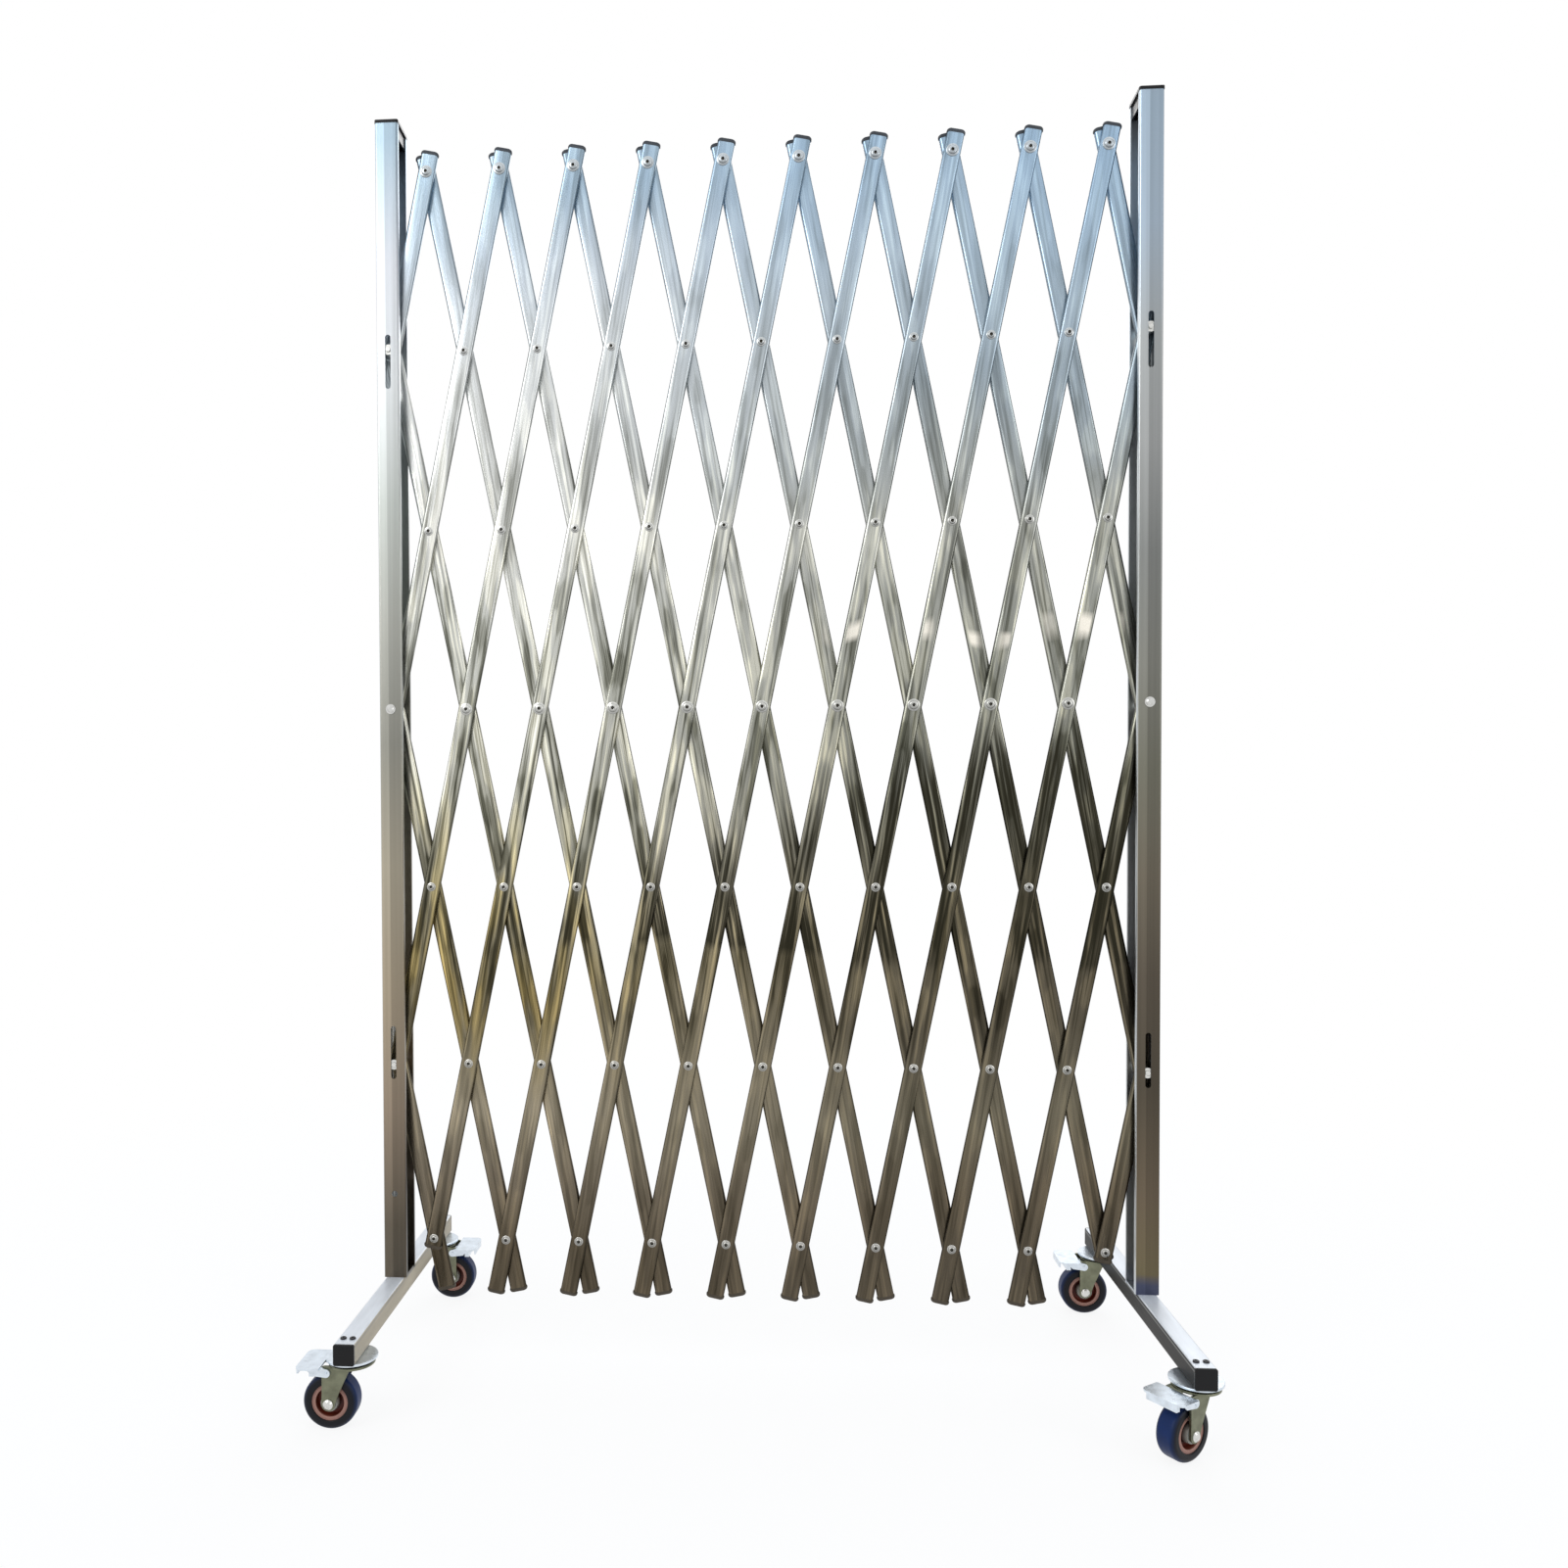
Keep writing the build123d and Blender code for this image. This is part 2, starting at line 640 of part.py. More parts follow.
# The origin is on the floor under the middle of the whole barrier
boxes = [solid.bounding_box() for solids in all_nodes.values() for solid in solids]
middle_x = (min(box.min.X for box in boxes) + max(box.max.X for box in boxes)) / 2
middle_y = (min(box.min.Y for box in boxes) + max(box.max.Y for box in boxes)) / 2
origin_shift = Pos(-middle_x, -middle_y, 0)

for name, solids in all_nodes.items():
    moved = [origin_shift * solid for solid in solids]
    export_step(moved[0] if len(moved) == 1 else Compound(children=moved), f"parts/{name}.step")
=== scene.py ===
import json
from math import asin, cos, pi, radians, sin, sqrt

import bmesh
import bpy
from mathutils import Matrix, Vector

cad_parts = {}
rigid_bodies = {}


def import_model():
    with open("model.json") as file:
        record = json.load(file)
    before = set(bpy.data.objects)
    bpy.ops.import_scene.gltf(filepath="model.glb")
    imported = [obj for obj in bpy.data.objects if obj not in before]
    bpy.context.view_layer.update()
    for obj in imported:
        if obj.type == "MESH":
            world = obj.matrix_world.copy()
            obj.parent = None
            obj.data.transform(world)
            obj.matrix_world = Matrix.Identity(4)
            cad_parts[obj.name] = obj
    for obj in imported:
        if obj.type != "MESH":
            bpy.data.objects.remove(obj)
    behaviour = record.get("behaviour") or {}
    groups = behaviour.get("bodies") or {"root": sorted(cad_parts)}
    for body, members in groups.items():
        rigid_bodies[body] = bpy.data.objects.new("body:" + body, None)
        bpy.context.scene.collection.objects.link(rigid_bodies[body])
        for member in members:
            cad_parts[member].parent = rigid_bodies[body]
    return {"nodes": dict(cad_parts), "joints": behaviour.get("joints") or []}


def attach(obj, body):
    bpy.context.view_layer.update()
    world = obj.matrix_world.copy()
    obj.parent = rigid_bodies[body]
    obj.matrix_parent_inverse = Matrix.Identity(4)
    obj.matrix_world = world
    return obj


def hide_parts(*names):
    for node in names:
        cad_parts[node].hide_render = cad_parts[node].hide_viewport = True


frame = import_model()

# a fresh file's own cube, lamp and camera go first
for stray in [o for o in bpy.data.objects if o.name in {"Cube", "Light", "Camera"}]:
    bpy.data.objects.remove(stray)
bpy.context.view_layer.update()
cadNodes = frame["nodes"]
joints = {joint["name"]: joint for joint in frame["joints"]}


# Camera, where the photograph was taken from

cameraSettings = {
    "place": (0.0083, -1.6265, 0.7287),
    "turn": 4.142,        # degrees to the left of straight on
    "tilt": -1.182,
    "roll": -0.216,
    "lens": 28.77,        # mm
    "sensor": 36.0,
    "shift": (0.0753, 0.0320),
    "clip": (0.05, 60.0),
}


def addCamera(settings):
    data = bpy.data.cameras.new("camera")
    data.lens = settings["lens"]
    data.sensor_width = settings["sensor"]
    data.shift_x, data.shift_y = settings["shift"]
    data.clip_start, data.clip_end = settings["clip"]
    eye = bpy.data.objects.new("camera", data)
    bpy.context.scene.collection.objects.link(eye)
    turn = Matrix.Rotation(radians(settings["turn"]), 4, "Z")
    tilt = Matrix.Rotation(radians(90 + settings["tilt"]), 4, "X")
    roll = Matrix.Rotation(radians(settings["roll"]), 4, "Z")
    eye.matrix_world = Matrix.Translation(settings["place"]) @ turn @ tilt @ roll
    bpy.context.scene.camera = eye


addCamera(cameraSettings)


# Node trees: one helper adds a node, and the others put a few together

def put(tree, kind, inputs=None, **settings):
    item = tree.nodes.new(kind)
    for key, value in settings.items():
        setattr(item, key, value)
    for key, value in (inputs or {}).items():
        if isinstance(value, bpy.types.NodeSocket):
            tree.links.new(value, item.inputs[key])
        else:
            item.inputs[key].default_value = value
    return item


def calc(tree, operation, *values):
    item = put(tree, "ShaderNodeMath", dict(enumerate(values)), operation=operation)
    return item.outputs[0]


def product(tree, first, *others):
    for other in others:
        first = calc(tree, "MULTIPLY", first, other)
    return first


def apart(tree, value, middle):
    # how far a value is from another one, either way
    return calc(tree, "ABSOLUTE", calc(tree, "SUBTRACT", value, middle))


def span(tree, value, fromLow, fromHigh, low=0.0, high=1.0):
    # a value between two limits, carried over to two others and kept between them
    item = put(tree, "ShaderNodeMapRange", {
        "Value": value, "From Min": fromLow, "From Max": fromHigh, "To Min": low, "To Max": high})
    return item.outputs[0]


def vectors(tree, operation, first, second):
    return put(tree, "ShaderNodeVectorMath", {0: first, 1: second}, operation=operation).outputs[0]


def lengthOf(tree, vector):
    return put(tree, "ShaderNodeVectorMath", {0: vector}, operation="LENGTH").outputs["Value"]


def parts(tree, vector):
    # its x, y and z, each on its own
    return put(tree, "ShaderNodeSeparateXYZ", {0: vector}).outputs


def objectPlace(tree):
    return put(tree, "ShaderNodeTexCoord").outputs["Object"]


def facing(tree):
    return parts(tree, put(tree, "ShaderNodeNewGeometry").outputs["Normal"])


def noise(tree, where, scale, detail=2.0, roughness=0.5):
    # scale may differ along x, y and z, which draws the pattern out
    if not isinstance(scale, float):
        where, scale = put(tree, "ShaderNodeMapping", {"Vector": where, "Scale": scale}).outputs[0], 1.0
    return put(tree, "ShaderNodeTexNoise", {
        "Vector": where, "Scale": scale, "Detail": detail, "Roughness": roughness}).outputs["Fac"]


def wavering(tree, where, scale, reach):
    # noise between minus and plus its reach
    return calc(tree, "MULTIPLY_ADD", noise(tree, where, scale), 2 * reach, -reach)


def linear(*levels):
    # 0-255 levels, as a colour picker gives them, to the linear values that shaders take
    shares = [level / 255 for level in levels]
    return [s / 12.92 if s <= 0.04045 else ((s + 0.055) / 1.055) ** 2.4 for s in shares] + [1.0]


def blendColors(tree, how, share, first, second):
    item = put(tree, "ShaderNodeMix", {0: share, 6: first, 7: second},
               data_type="RGBA", blend_type=how)
    return item.outputs[2]


def scaled(tree, color, amount):
    if isinstance(color, list):
        color = color[:3]
    item = put(tree, "ShaderNodeVectorMath", {0: color, "Scale": amount}, operation="SCALE")
    return item.outputs[0]


def shaded(tree, color, share, amount):
    # brought part of the way to a darker or a lighter version of itself
    return blendColors(tree, "MIX", share, color, scaled(tree, color, amount))


def ramp(tree, value, stops, height=1.0):
    item = put(tree, "ShaderNodeValToRGB", {"Fac": value})
    band = item.color_ramp
    while len(band.elements) < len(stops):
        band.elements.new(0.5)
    for element, (place, color) in zip(band.elements, stops):
        element.position = place / height
        element.color = color
    return item.outputs["Color"]


# Light, floor and background

studio = {
    "skyTones": [         # share of the way from straight down to straight up, colour
        (0.00, (0.70, 0.67, 0.64, 1.0)), (0.42, (0.70, 0.67, 0.64, 1.0)), (0.50, (1.0, 1.0, 1.0, 1.0)),
        (0.62, (1.0, 1.0, 1.0, 1.0)), (0.78, (0.82, 0.90, 1.0, 1.0)), (1.00, (0.82, 0.90, 1.0, 1.0))],
    "strength": 0.85,
    "white": (1.0, 1.0, 1.0, 1.0),
    "floorColor": (0.95, 0.95, 0.95, 1.0),
    "floorGlow": (0.8, 2.0, 0.88, 1.0),   # share of plain white in the floor, by metres from the middle
    "floorSize": 16.0,
    "lamps": {            # place, aimed at, width and height in metres, watts
        "keySoftbox": ((-2.4, -2.6, 2.9), (0.0, 0.0, 0.9), 2.0, 2.0, 40.0),
        "fillSoftbox": ((2.8, -2.0, 1.6), (0.0, 0.0, 0.8), 1.4, 2.0, 16.0),
        "backSoftbox": ((0.6, 3.0, 2.6), (0.0, 0.0, 0.9), 2.2, 1.4, 30.0),
    },
}


def rayKinds(tree):
    # 1 where a ray comes from the camera or through glass, and 1 where it is mirrored
    path = put(tree, "ShaderNodeLightPath").outputs
    seen = calc(tree, "MAXIMUM", path["Is Camera Ray"], path["Is Transmission Ray"])
    return seen, path["Is Glossy Ray"]


def addWorld(settings):
    world = bpy.data.worlds.new("studio")
    bpy.context.scene.world = world
    world.use_nodes = True
    tree = world.node_tree
    tree.nodes.clear()
    direction = parts(tree, put(tree, "ShaderNodeTexCoord").outputs["Generated"])
    slope = calc(tree, "MULTIPLY_ADD", direction["Z"], 0.5, 0.5)
    sky = ramp(tree, slope, settings["skyTones"])
    lit = put(tree, "ShaderNodeBackground", {"Color": sky, "Strength": settings["strength"]})
    plain = put(tree, "ShaderNodeBackground", {"Color": settings["white"], "Strength": 1.0})
    shown = calc(tree, "MAXIMUM", *rayKinds(tree))
    both = put(tree, "ShaderNodeMixShader", {0: shown, 1: lit.outputs[0], 2: plain.outputs[0]})
    put(tree, "ShaderNodeOutputWorld", {"Surface": both.outputs[0]})


def addLamps(settings):
    for name, (place, aim, width, height, watts) in settings["lamps"].items():
        data = bpy.data.lights.new(name, "AREA")
        data.shape = "RECTANGLE"
        data.size, data.size_y, data.energy = width, height, watts
        lamp = bpy.data.objects.new(name, data)
        bpy.context.scene.collection.objects.link(lamp)
        lamp.location = place
        lamp.rotation_euler = (Vector(aim) - Vector(place)).to_track_quat("-Z", "Y").to_euler()


def addFloor(settings):
    material = bpy.data.materials.new("paleFloor")
    material.use_nodes = True
    tree = material.node_tree
    tree.nodes.clear()
    matt = put(tree, "ShaderNodeBsdfDiffuse", {"Color": settings["floorColor"]})
    glow = put(tree, "ShaderNodeEmission", {"Color": settings["white"], "Strength": 1.0})
    seen, mirrored = rayKinds(tree)
    glowShare = span(tree, lengthOf(tree, objectPlace(tree)), *settings["floorGlow"])
    share = calc(tree, "MAXIMUM", product(tree, seen, glowShare), mirrored)
    both = put(tree, "ShaderNodeMixShader", {0: share, 1: matt.outputs[0], 2: glow.outputs[0]})
    put(tree, "ShaderNodeOutputMaterial", {"Surface": both.outputs[0]})
    half = settings["floorSize"] / 2
    mesh = bpy.data.meshes.new("paleFloor")
    mesh.from_pydata([(-half, -half, 0), (half, -half, 0), (half, half, 0), (-half, half, 0)],
                     [], [(0, 1, 2, 3)])
    mesh.materials.append(material)
    floor = bpy.data.objects.new("paleFloor", mesh)
    bpy.context.scene.collection.objects.link(floor)


addWorld(studio)
addLamps(studio)
addFloor(studio)
bpy.context.scene.view_settings.view_transform = "Standard"
print("camera, floor and lamps ready")


# Finishes. A limit in these settings says where a share is nought and where it is full;
# where it has four numbers, the last two are the shares there. Lengths are in metres.

steel = {
    # polished steel carries a pale sky above and a brown ground below: metres up, colour
    "leftTones": [
        (0.13, linear(91, 82, 68)), (0.22, linear(113, 104, 90)), (0.33, linear(145, 136, 118)),
        (0.50, linear(128, 119, 96)), (0.60, linear(141, 135, 117)), (0.72, linear(178, 177, 167)),
        (0.90, linear(198, 199, 193)), (1.10, linear(206, 207, 204)), (1.30, linear(214, 217, 218)),
        (1.45, linear(195, 205, 215)), (1.56, linear(164, 185, 202))],
    "rightTones": [
        (0.13, linear(82, 75, 64)), (0.22, linear(95, 86, 72)), (0.33, linear(108, 102, 87)),
        (0.45, linear(86, 80, 68)), (0.60, linear(80, 75, 62)), (0.75, linear(96, 95, 85)),
        (0.90, linear(138, 139, 131)), (1.10, linear(160, 162, 158)), (1.28, linear(153, 166, 176)),
        (1.40, linear(163, 181, 196)), (1.56, linear(156, 182, 206))],
    "topOfTones": 1.64,
    "leftEdge": -0.42,        # all left tones to the left of this
    "rightEdge": 0.34,        # and all right tones to the right of this
    "waverScale": 3.0,
    "metallic": 0.92,
    "edgeTint": (0.5, 0.5, 0.5, 1.0),         # of what it mirrors at a low angle
    "reliefStrength": 0.10,
    "reliefDepth": 0.0002,
}


def freshMaterial(name):
    material = bpy.data.materials.new(name)
    material.use_nodes = True
    tree = material.node_tree
    return material, tree, tree.nodes["Principled BSDF"]


def steelTones(tree, look, reach):
    # what the steel mirrors by height, from one end of the barrier to the other
    where = objectPlace(tree)
    place = parts(tree, where)
    wander = wavering(tree, where, look["waverScale"], reach)
    level = calc(tree, "DIVIDE", calc(tree, "ADD", place["Z"], wander), look["topOfTones"])
    left = ramp(tree, level, look["leftTones"], look["topOfTones"])
    right = ramp(tree, level, look["rightTones"], look["topOfTones"])
    across = put(tree, "ShaderNodeMapRange", {
        "Value": calc(tree, "ADD", place["X"], wander), "From Min": look["leftEdge"],
        "From Max": look["rightEdge"]}, interpolation_type="SMOOTHSTEP")
    return where, place, blendColors(tree, "MIX", across.outputs[0], left, right)


def brush(tree, finish, where, look):
    # fine drawn lines in the roughness and the relief
    grain = noise(tree, where, look["grainScale"])
    tree.links.new(span(tree, grain, 0.0, 1.0, *look["roughness"]), finish.inputs["Roughness"])
    bump = put(tree, "ShaderNodeBump", {
        "Strength": steel["reliefStrength"], "Distance": steel["reliefDepth"], "Height": grain})
    tree.links.new(bump.outputs[0], finish.inputs["Normal"])


slatLook = {
    "waver": 0.10,
    # the mirrored things are drawn out along the slat, and differ from slat to slat
    "streakScale": (150.0, 40.0, 4.0),        # across, through and along the slat
    "streakDetail": 3.0,
    "streakRoughness": 0.65,
    "streakTones": [
        (0.36, (0.12, 0.12, 0.09, 1)), (0.44, (0.50, 0.50, 0.45, 1)), (0.49, (1.0, 1.0, 1.0, 1)),
        (0.56, (1.12, 1.12, 1.12, 1)), (0.64, (2.0, 1.95, 1.8, 1))],
    "streakShare": 0.85,
    "patchScale": (35.0, 20.0, 11.0),
    "patchDetail": 1.5,
    "patchTones": [
        (0.38, (0.26, 0.26, 0.20, 1)), (0.43, (0.80, 0.80, 0.76, 1)), (0.54, (1.0, 1.0, 1.0, 1)),
        (0.60, (1.60, 1.56, 1.45, 1))],
    "patchShare": 0.75,
    "slatShift": (31.0, 0.0, 0.0),
    "contrastAbove": (1.35, 0.85, 0.30, 1.0),
    "contrastBelow": (0.38, 0.52, 0.45, 1.0),
    # a dark bank mirrored at knee height, which ends sharply above the pale ground
    "bank": linear(42, 40, 30),
    "bankWaverScale": 5.0,
    "bankWaver": 0.05,
    "bankTop": (-0.2, 0.3, 0.66, 0.86),       # its height, from left to right
    "bankTopFade": (0.0, 0.07),
    "bankFoot": (0.535, 0.547),
    "bankStreaks": (0.60, 0.47),
    "bankAcross": (-0.36, -0.12, 0.45, 0.90),
    # gold low on the left, where it mirrors dry grass
    "goldTint": (1.06, 0.98, 0.70, 1.0),
    "goldAcross": (-0.12, -0.28),
    "goldFoot": (0.34, 0.46),
    "goldTop": (0.78, 0.62),
    "goldPatches": (0.42, 0.55),
    # the rolled edges: a painted highlight as a light line on one side, and painted shade as a dark line on
    # both
    "lightLineInner": (-0.0070, -0.0082),
    "lightLineOuter": (-0.0106, -0.0098),
    "lightLineTop": (1.25, 1.05),
    "lightLineShare": 0.5,
    "lightLineTone": 1.55,
    "darkLineRight": (0.0082, 0.0104),
    "darkLineLeft": (-0.0100, -0.0109),
    "darkLineShare": 0.75,
    "darkLineTone": 0.42,
    # glints of a low sun, at breast height on the right
    "glint": linear(255, 249, 236),
    "glintHeight": 0.955,
    "glintWaverScale": 7.0,
    "glintWaver": 0.06,
    "glintHalfHeight": (0.015, 0.005),
    "glintPlaceScale": (13.0, 13.0, 0.0),
    "glintPlaces": (0.47, 0.53),
    "glintAcross": (0.08, 0.14),
    "glintHalfWidth": (0.0085, 0.0060),
    "glintShare": 0.9,
    "grainScale": (2400.0, 2400.0, 14.0),
    "roughness": (0.18, 0.34),
}


def slatSteel(look):
    material, tree, finish = freshMaterial("slatSteel")
    where, place, toned = steelTones(tree, steel, look["waver"])
    local = put(tree, "ShaderNodeAttribute", attribute_name="slatPlace").outputs["Vector"]
    bySlat = parts(tree, local)
    slatShift = vectors(tree, "MULTIPLY", where, look["slatShift"])

    def alongSlat(scale):
        return vectors(tree, "ADD", vectors(tree, "MULTIPLY", local, scale), slatShift)

    contrast = product(tree, span(tree, place["Z"], *look["contrastAbove"]),
                       span(tree, place["Z"], *look["contrastBelow"]))
    streaks = noise(tree, alongSlat(look["streakScale"]), 1.0, look["streakDetail"],
                    look["streakRoughness"])
    toned = blendColors(tree, "MULTIPLY", product(tree, contrast, look["streakShare"]), toned,
                        ramp(tree, streaks, look["streakTones"]))
    patches = noise(tree, alongSlat(look["patchScale"]), 1.0, look["patchDetail"])
    toned = blendColors(tree, "MULTIPLY", product(tree, contrast, look["patchShare"]), toned,
                        ramp(tree, patches, look["patchTones"]))
    bankLine = calc(tree, "ADD", place["Z"],
                    wavering(tree, where, look["bankWaverScale"], look["bankWaver"]))
    underTop = calc(tree, "SUBTRACT", span(tree, place["X"], *look["bankTop"]), bankLine)
    bank = product(tree, span(tree, bankLine, *look["bankFoot"]), span(tree, underTop, *look["bankTopFade"]),
                   span(tree, streaks, *look["bankStreaks"]), span(tree, place["X"], *look["bankAcross"]))
    toned = blendColors(tree, "MIX", bank, toned, look["bank"])
    gold = product(tree, span(tree, place["X"], *look["goldAcross"]),
                   span(tree, place["Z"], *look["goldFoot"]), span(tree, place["Z"], *look["goldTop"]),
                   span(tree, patches, *look["goldPatches"]))
    toned = blendColors(tree, "MULTIPLY", gold, toned, look["goldTint"])
    # painted highlight along one rolled edge, fading out between 1.05 m and 1.25 m up
    paintedEdgeHighlight = product(tree, span(tree, bySlat["X"], *look["lightLineInner"]),
                        span(tree, bySlat["X"], *look["lightLineOuter"]),
                        span(tree, place["Z"], *look["lightLineTop"]), look["lightLineShare"])
    toned = shaded(tree, toned, paintedEdgeHighlight, look["lightLineTone"])
    # painted shade along both rolled edges
    paintedEdgeShade = calc(tree, "MAXIMUM", span(tree, bySlat["X"], *look["darkLineRight"]),
                     span(tree, bySlat["X"], *look["darkLineLeft"]))
    toned = shaded(tree, toned, product(tree, paintedEdgeShade, look["darkLineShare"]), look["darkLineTone"])
    glintLine = calc(tree, "ADD", place["Z"],
                     wavering(tree, where, look["glintWaverScale"], look["glintWaver"]))
    glints = product(tree, span(tree, apart(tree, glintLine, look["glintHeight"]), *look["glintHalfHeight"]),
                     span(tree, noise(tree, where, look["glintPlaceScale"]), *look["glintPlaces"]),
                     span(tree, place["X"], *look["glintAcross"]),
                     span(tree, calc(tree, "ABSOLUTE", bySlat["X"]), *look["glintHalfWidth"]),
                     look["glintShare"])
    toned = blendColors(tree, "MIX", glints, toned, look["glint"])
    tree.links.new(toned, finish.inputs["Base Color"])
    finish.inputs["Metallic"].default_value = steel["metallic"]
    finish.inputs["Specular Tint"].default_value = steel["edgeTint"]
    brush(tree, finish, local, look)
    return material


postLook = {
    "leftTones": [
        (0.178, linear(104, 96, 84)), (0.337, linear(151, 136, 119)), (0.495, linear(170, 157, 136)),
        (0.653, linear(178, 170, 152)), (0.812, linear(160, 159, 150)), (0.970, linear(185, 186, 179)),
        (1.128, linear(193, 198, 194)), (1.287, linear(214, 218, 220)), (1.445, linear(204, 208, 215)),
        (1.600, linear(164, 185, 200))],
    "rightTones": [
        (0.130, linear(84, 88, 110)), (0.140, linear(118, 108, 84)), (0.233, linear(111, 99, 83)),
        (0.369, linear(89, 82, 71)), (0.505, linear(98, 90, 79)), (0.640, linear(116, 109, 96)),
        (0.777, linear(122, 121, 109)), (0.910, linear(138, 138, 131)), (1.048, linear(140, 142, 140)),
        (1.184, linear(168, 170, 170)), (1.320, linear(177, 181, 182)), (1.456, linear(176, 192, 208)),
        (1.600, linear(172, 191, 208))],
    "topOfTones": 1.64,
    "leftEdge": -0.1,
    "rightEdge": 0.1,
    "waverScale": 3.0,
    "waver": 0.015,
    "bandScale": (190.0, 190.0, 1.6),
    "bandTones": [(0.3, (0.86, 0.86, 0.85, 1)), (0.7, (1.08, 1.08, 1.08, 1))],
    "bandShare": 0.8,
    # lips and web, which mirror each other, get a painted reflection: by how far a face is turned to the
    # side
    "paintedLipReflection": linear(222, 227, 230),
    "lipBlend": 0.5,
    "sideways": (0.75, 0.95),
    "sidewaysShare": 0.55,
    # painted light inside the channel, by the distance from its middle
    "insideAcross": (0.0145, 0.0139),
    "insideDeep": (0.0222, 0.0215),
    "insideBlend": 0.6,
    "insideLift": 1.25,
    # painted shade: the rolled corners show as two dark lines on each flange
    "cornerAcross": (0.0122, 0.0134),
    "cornerSideways": (0.92, 0.80),
    "cornerShare": 0.55,
    "cornerTone": 0.45,
    "grainScale": (2600.0, 2600.0, 12.0),
    "roughness": (0.24, 0.40),
}


def postSteel(look, middleX, middleY):
    # middleX is how far each post's own middle is from the barrier's
    material, tree, finish = freshMaterial("postSteel")
    where, place, toned = steelTones(tree, look, look["waver"])
    bands = ramp(tree, noise(tree, where, look["bandScale"]), look["bandTones"])
    toned = blendColors(tree, "MULTIPLY", look["bandShare"], toned, bands)
    turned = calc(tree, "ABSOLUTE", facing(tree)["X"])
    # painted reflection: faces turned to the side are blended towards a pale tone
    sideways = product(tree, span(tree, turned, *look["sideways"]), look["sidewaysShare"])
    lips = blendColors(tree, "MIX", look["lipBlend"], toned, look["paintedLipReflection"])
    toned = blendColors(tree, "MIX", sideways, toned, lips)
    offAxis = apart(tree, calc(tree, "ABSOLUTE", place["X"]), middleX)
    # painted light: the inside of the channel is lifted paler
    inside = product(tree, span(tree, offAxis, *look["insideAcross"]),
                     span(tree, apart(tree, place["Y"], middleY), *look["insideDeep"]))
    litUp = scaled(tree, blendColors(tree, "MIX", look["insideBlend"], toned, look["paintedLipReflection"]),
                   look["insideLift"])
    toned = blendColors(tree, "MIX", inside, toned, litUp)
    # painted shade along the rolled corners
    corners = product(tree, span(tree, offAxis, *look["cornerAcross"]),
                      span(tree, turned, *look["cornerSideways"]), look["cornerShare"])
    toned = shaded(tree, toned, corners, look["cornerTone"])
    tree.links.new(toned, finish.inputs["Base Color"])
    finish.inputs["Metallic"].default_value = steel["metallic"]
    finish.inputs["Specular Tint"].default_value = steel["edgeTint"]
    brush(tree, finish, where, look)
    return material


footLook = {
    # painted light and shade by facing: tops near white, the left bar's inner side lit beige, the right
    # bar's inner side shaded near black, outer sides mid grey
    "top": linear(240, 243, 247),
    "leftInsideLit": linear(188, 178, 158),
    "rightInsideShaded": linear(28, 26, 22),
    "outside": linear(126, 120, 106),
    "stripe": linear(150, 150, 146),      # a light line under the top edge
    "stripeHeight": 0.1065,
    "stripeHalfHeight": (0.0016, 0.0008, 0.0, 0.6),
    "leftToRight": (-0.01, 0.01),
    "turnedInward": (0.3, 0.7),
    "turnedUp": (0.55, 0.85),
    "cloudScale": (60.0, 9.0, 60.0),
    "clouds": (0.3, 0.7, 0.86, 1.04),
    "metallic": 0.35,
    "specular": 0.25,
    "edgeTint": (0.35, 0.35, 0.35, 1.0),
    "grainScale": (2200.0, 16.0, 2200.0),
    "roughness": (0.26, 0.44),
}


def footSteel(look):
    material, tree, finish = freshMaterial("footSteel")
    where = objectPlace(tree)
    place, normal = parts(tree, where), facing(tree)
    # painted light and shade: each face takes its tone from where it is turned, inward, outward or up
    inward = product(tree, normal["X"], span(tree, place["X"], *look["leftToRight"], 1.0, -1.0))
    inside = blendColors(tree, "MIX", span(tree, place["X"], *look["leftToRight"]), look["leftInsideLit"],
                         look["rightInsideShaded"])
    tone = blendColors(tree, "MIX", span(tree, inward, *look["turnedInward"]), look["outside"], inside)
    fromStripe = apart(tree, place["Z"], look["stripeHeight"])
    tone = blendColors(tree, "MIX", span(tree, fromStripe, *look["stripeHalfHeight"]), tone, look["stripe"])
    tone = blendColors(tree, "MIX", span(tree, normal["Z"], *look["turnedUp"]), tone, look["top"])
    clouds = noise(tree, where, look["cloudScale"], detail=3.0)
    tone = scaled(tree, tone, span(tree, clouds, *look["clouds"]))
    tree.links.new(tone, finish.inputs["Base Color"])
    finish.inputs["Metallic"].default_value = look["metallic"]
    finish.inputs["Specular IOR Level"].default_value = look["specular"]
    finish.inputs["Specular Tint"].default_value = look["edgeTint"]
    brush(tree, finish, where, look)
    return material


rivetLook = {
    "waver": 0.02,
    "bright": linear(228, 228, 224),
    "brightShare": 0.60,
    "spotScale": 420.0,
    "spots": (0.3, 0.7, 0.85, 1.05),
    "turnedUp": (-0.75, 0.45, 0.30, 1.12),    # a dome mirrors the sky above and the ground below
    "metallic": 0.9,
    "roughness": (0.18, 0.34),
}


def rivetSteel(look):
    material, tree, finish = freshMaterial("rivetSteel")
    where, _, tone = steelTones(tree, steel, look["waver"])
    bright = blendColors(tree, "MIX", look["brightShare"], tone, look["bright"])
    spots = noise(tree, where, look["spotScale"], detail=3.0)
    lift = product(tree, span(tree, facing(tree)["Z"], *look["turnedUp"]), span(tree, spots, *look["spots"]))
    tree.links.new(scaled(tree, bright, lift), finish.inputs["Base Color"])
    finish.inputs["Metallic"].default_value = look["metallic"]
    tree.links.new(span(tree, spots, 0.0, 1.0, *look["roughness"]), finish.inputs["Roughness"])
    return material


metalLook = {
    "metallic": 0.9,
    "spots": (0.3, 0.7),
    "kneeHeight": (0.2, 0.4),
    "smoother": 0.08,
    "rougher": 0.10,
}


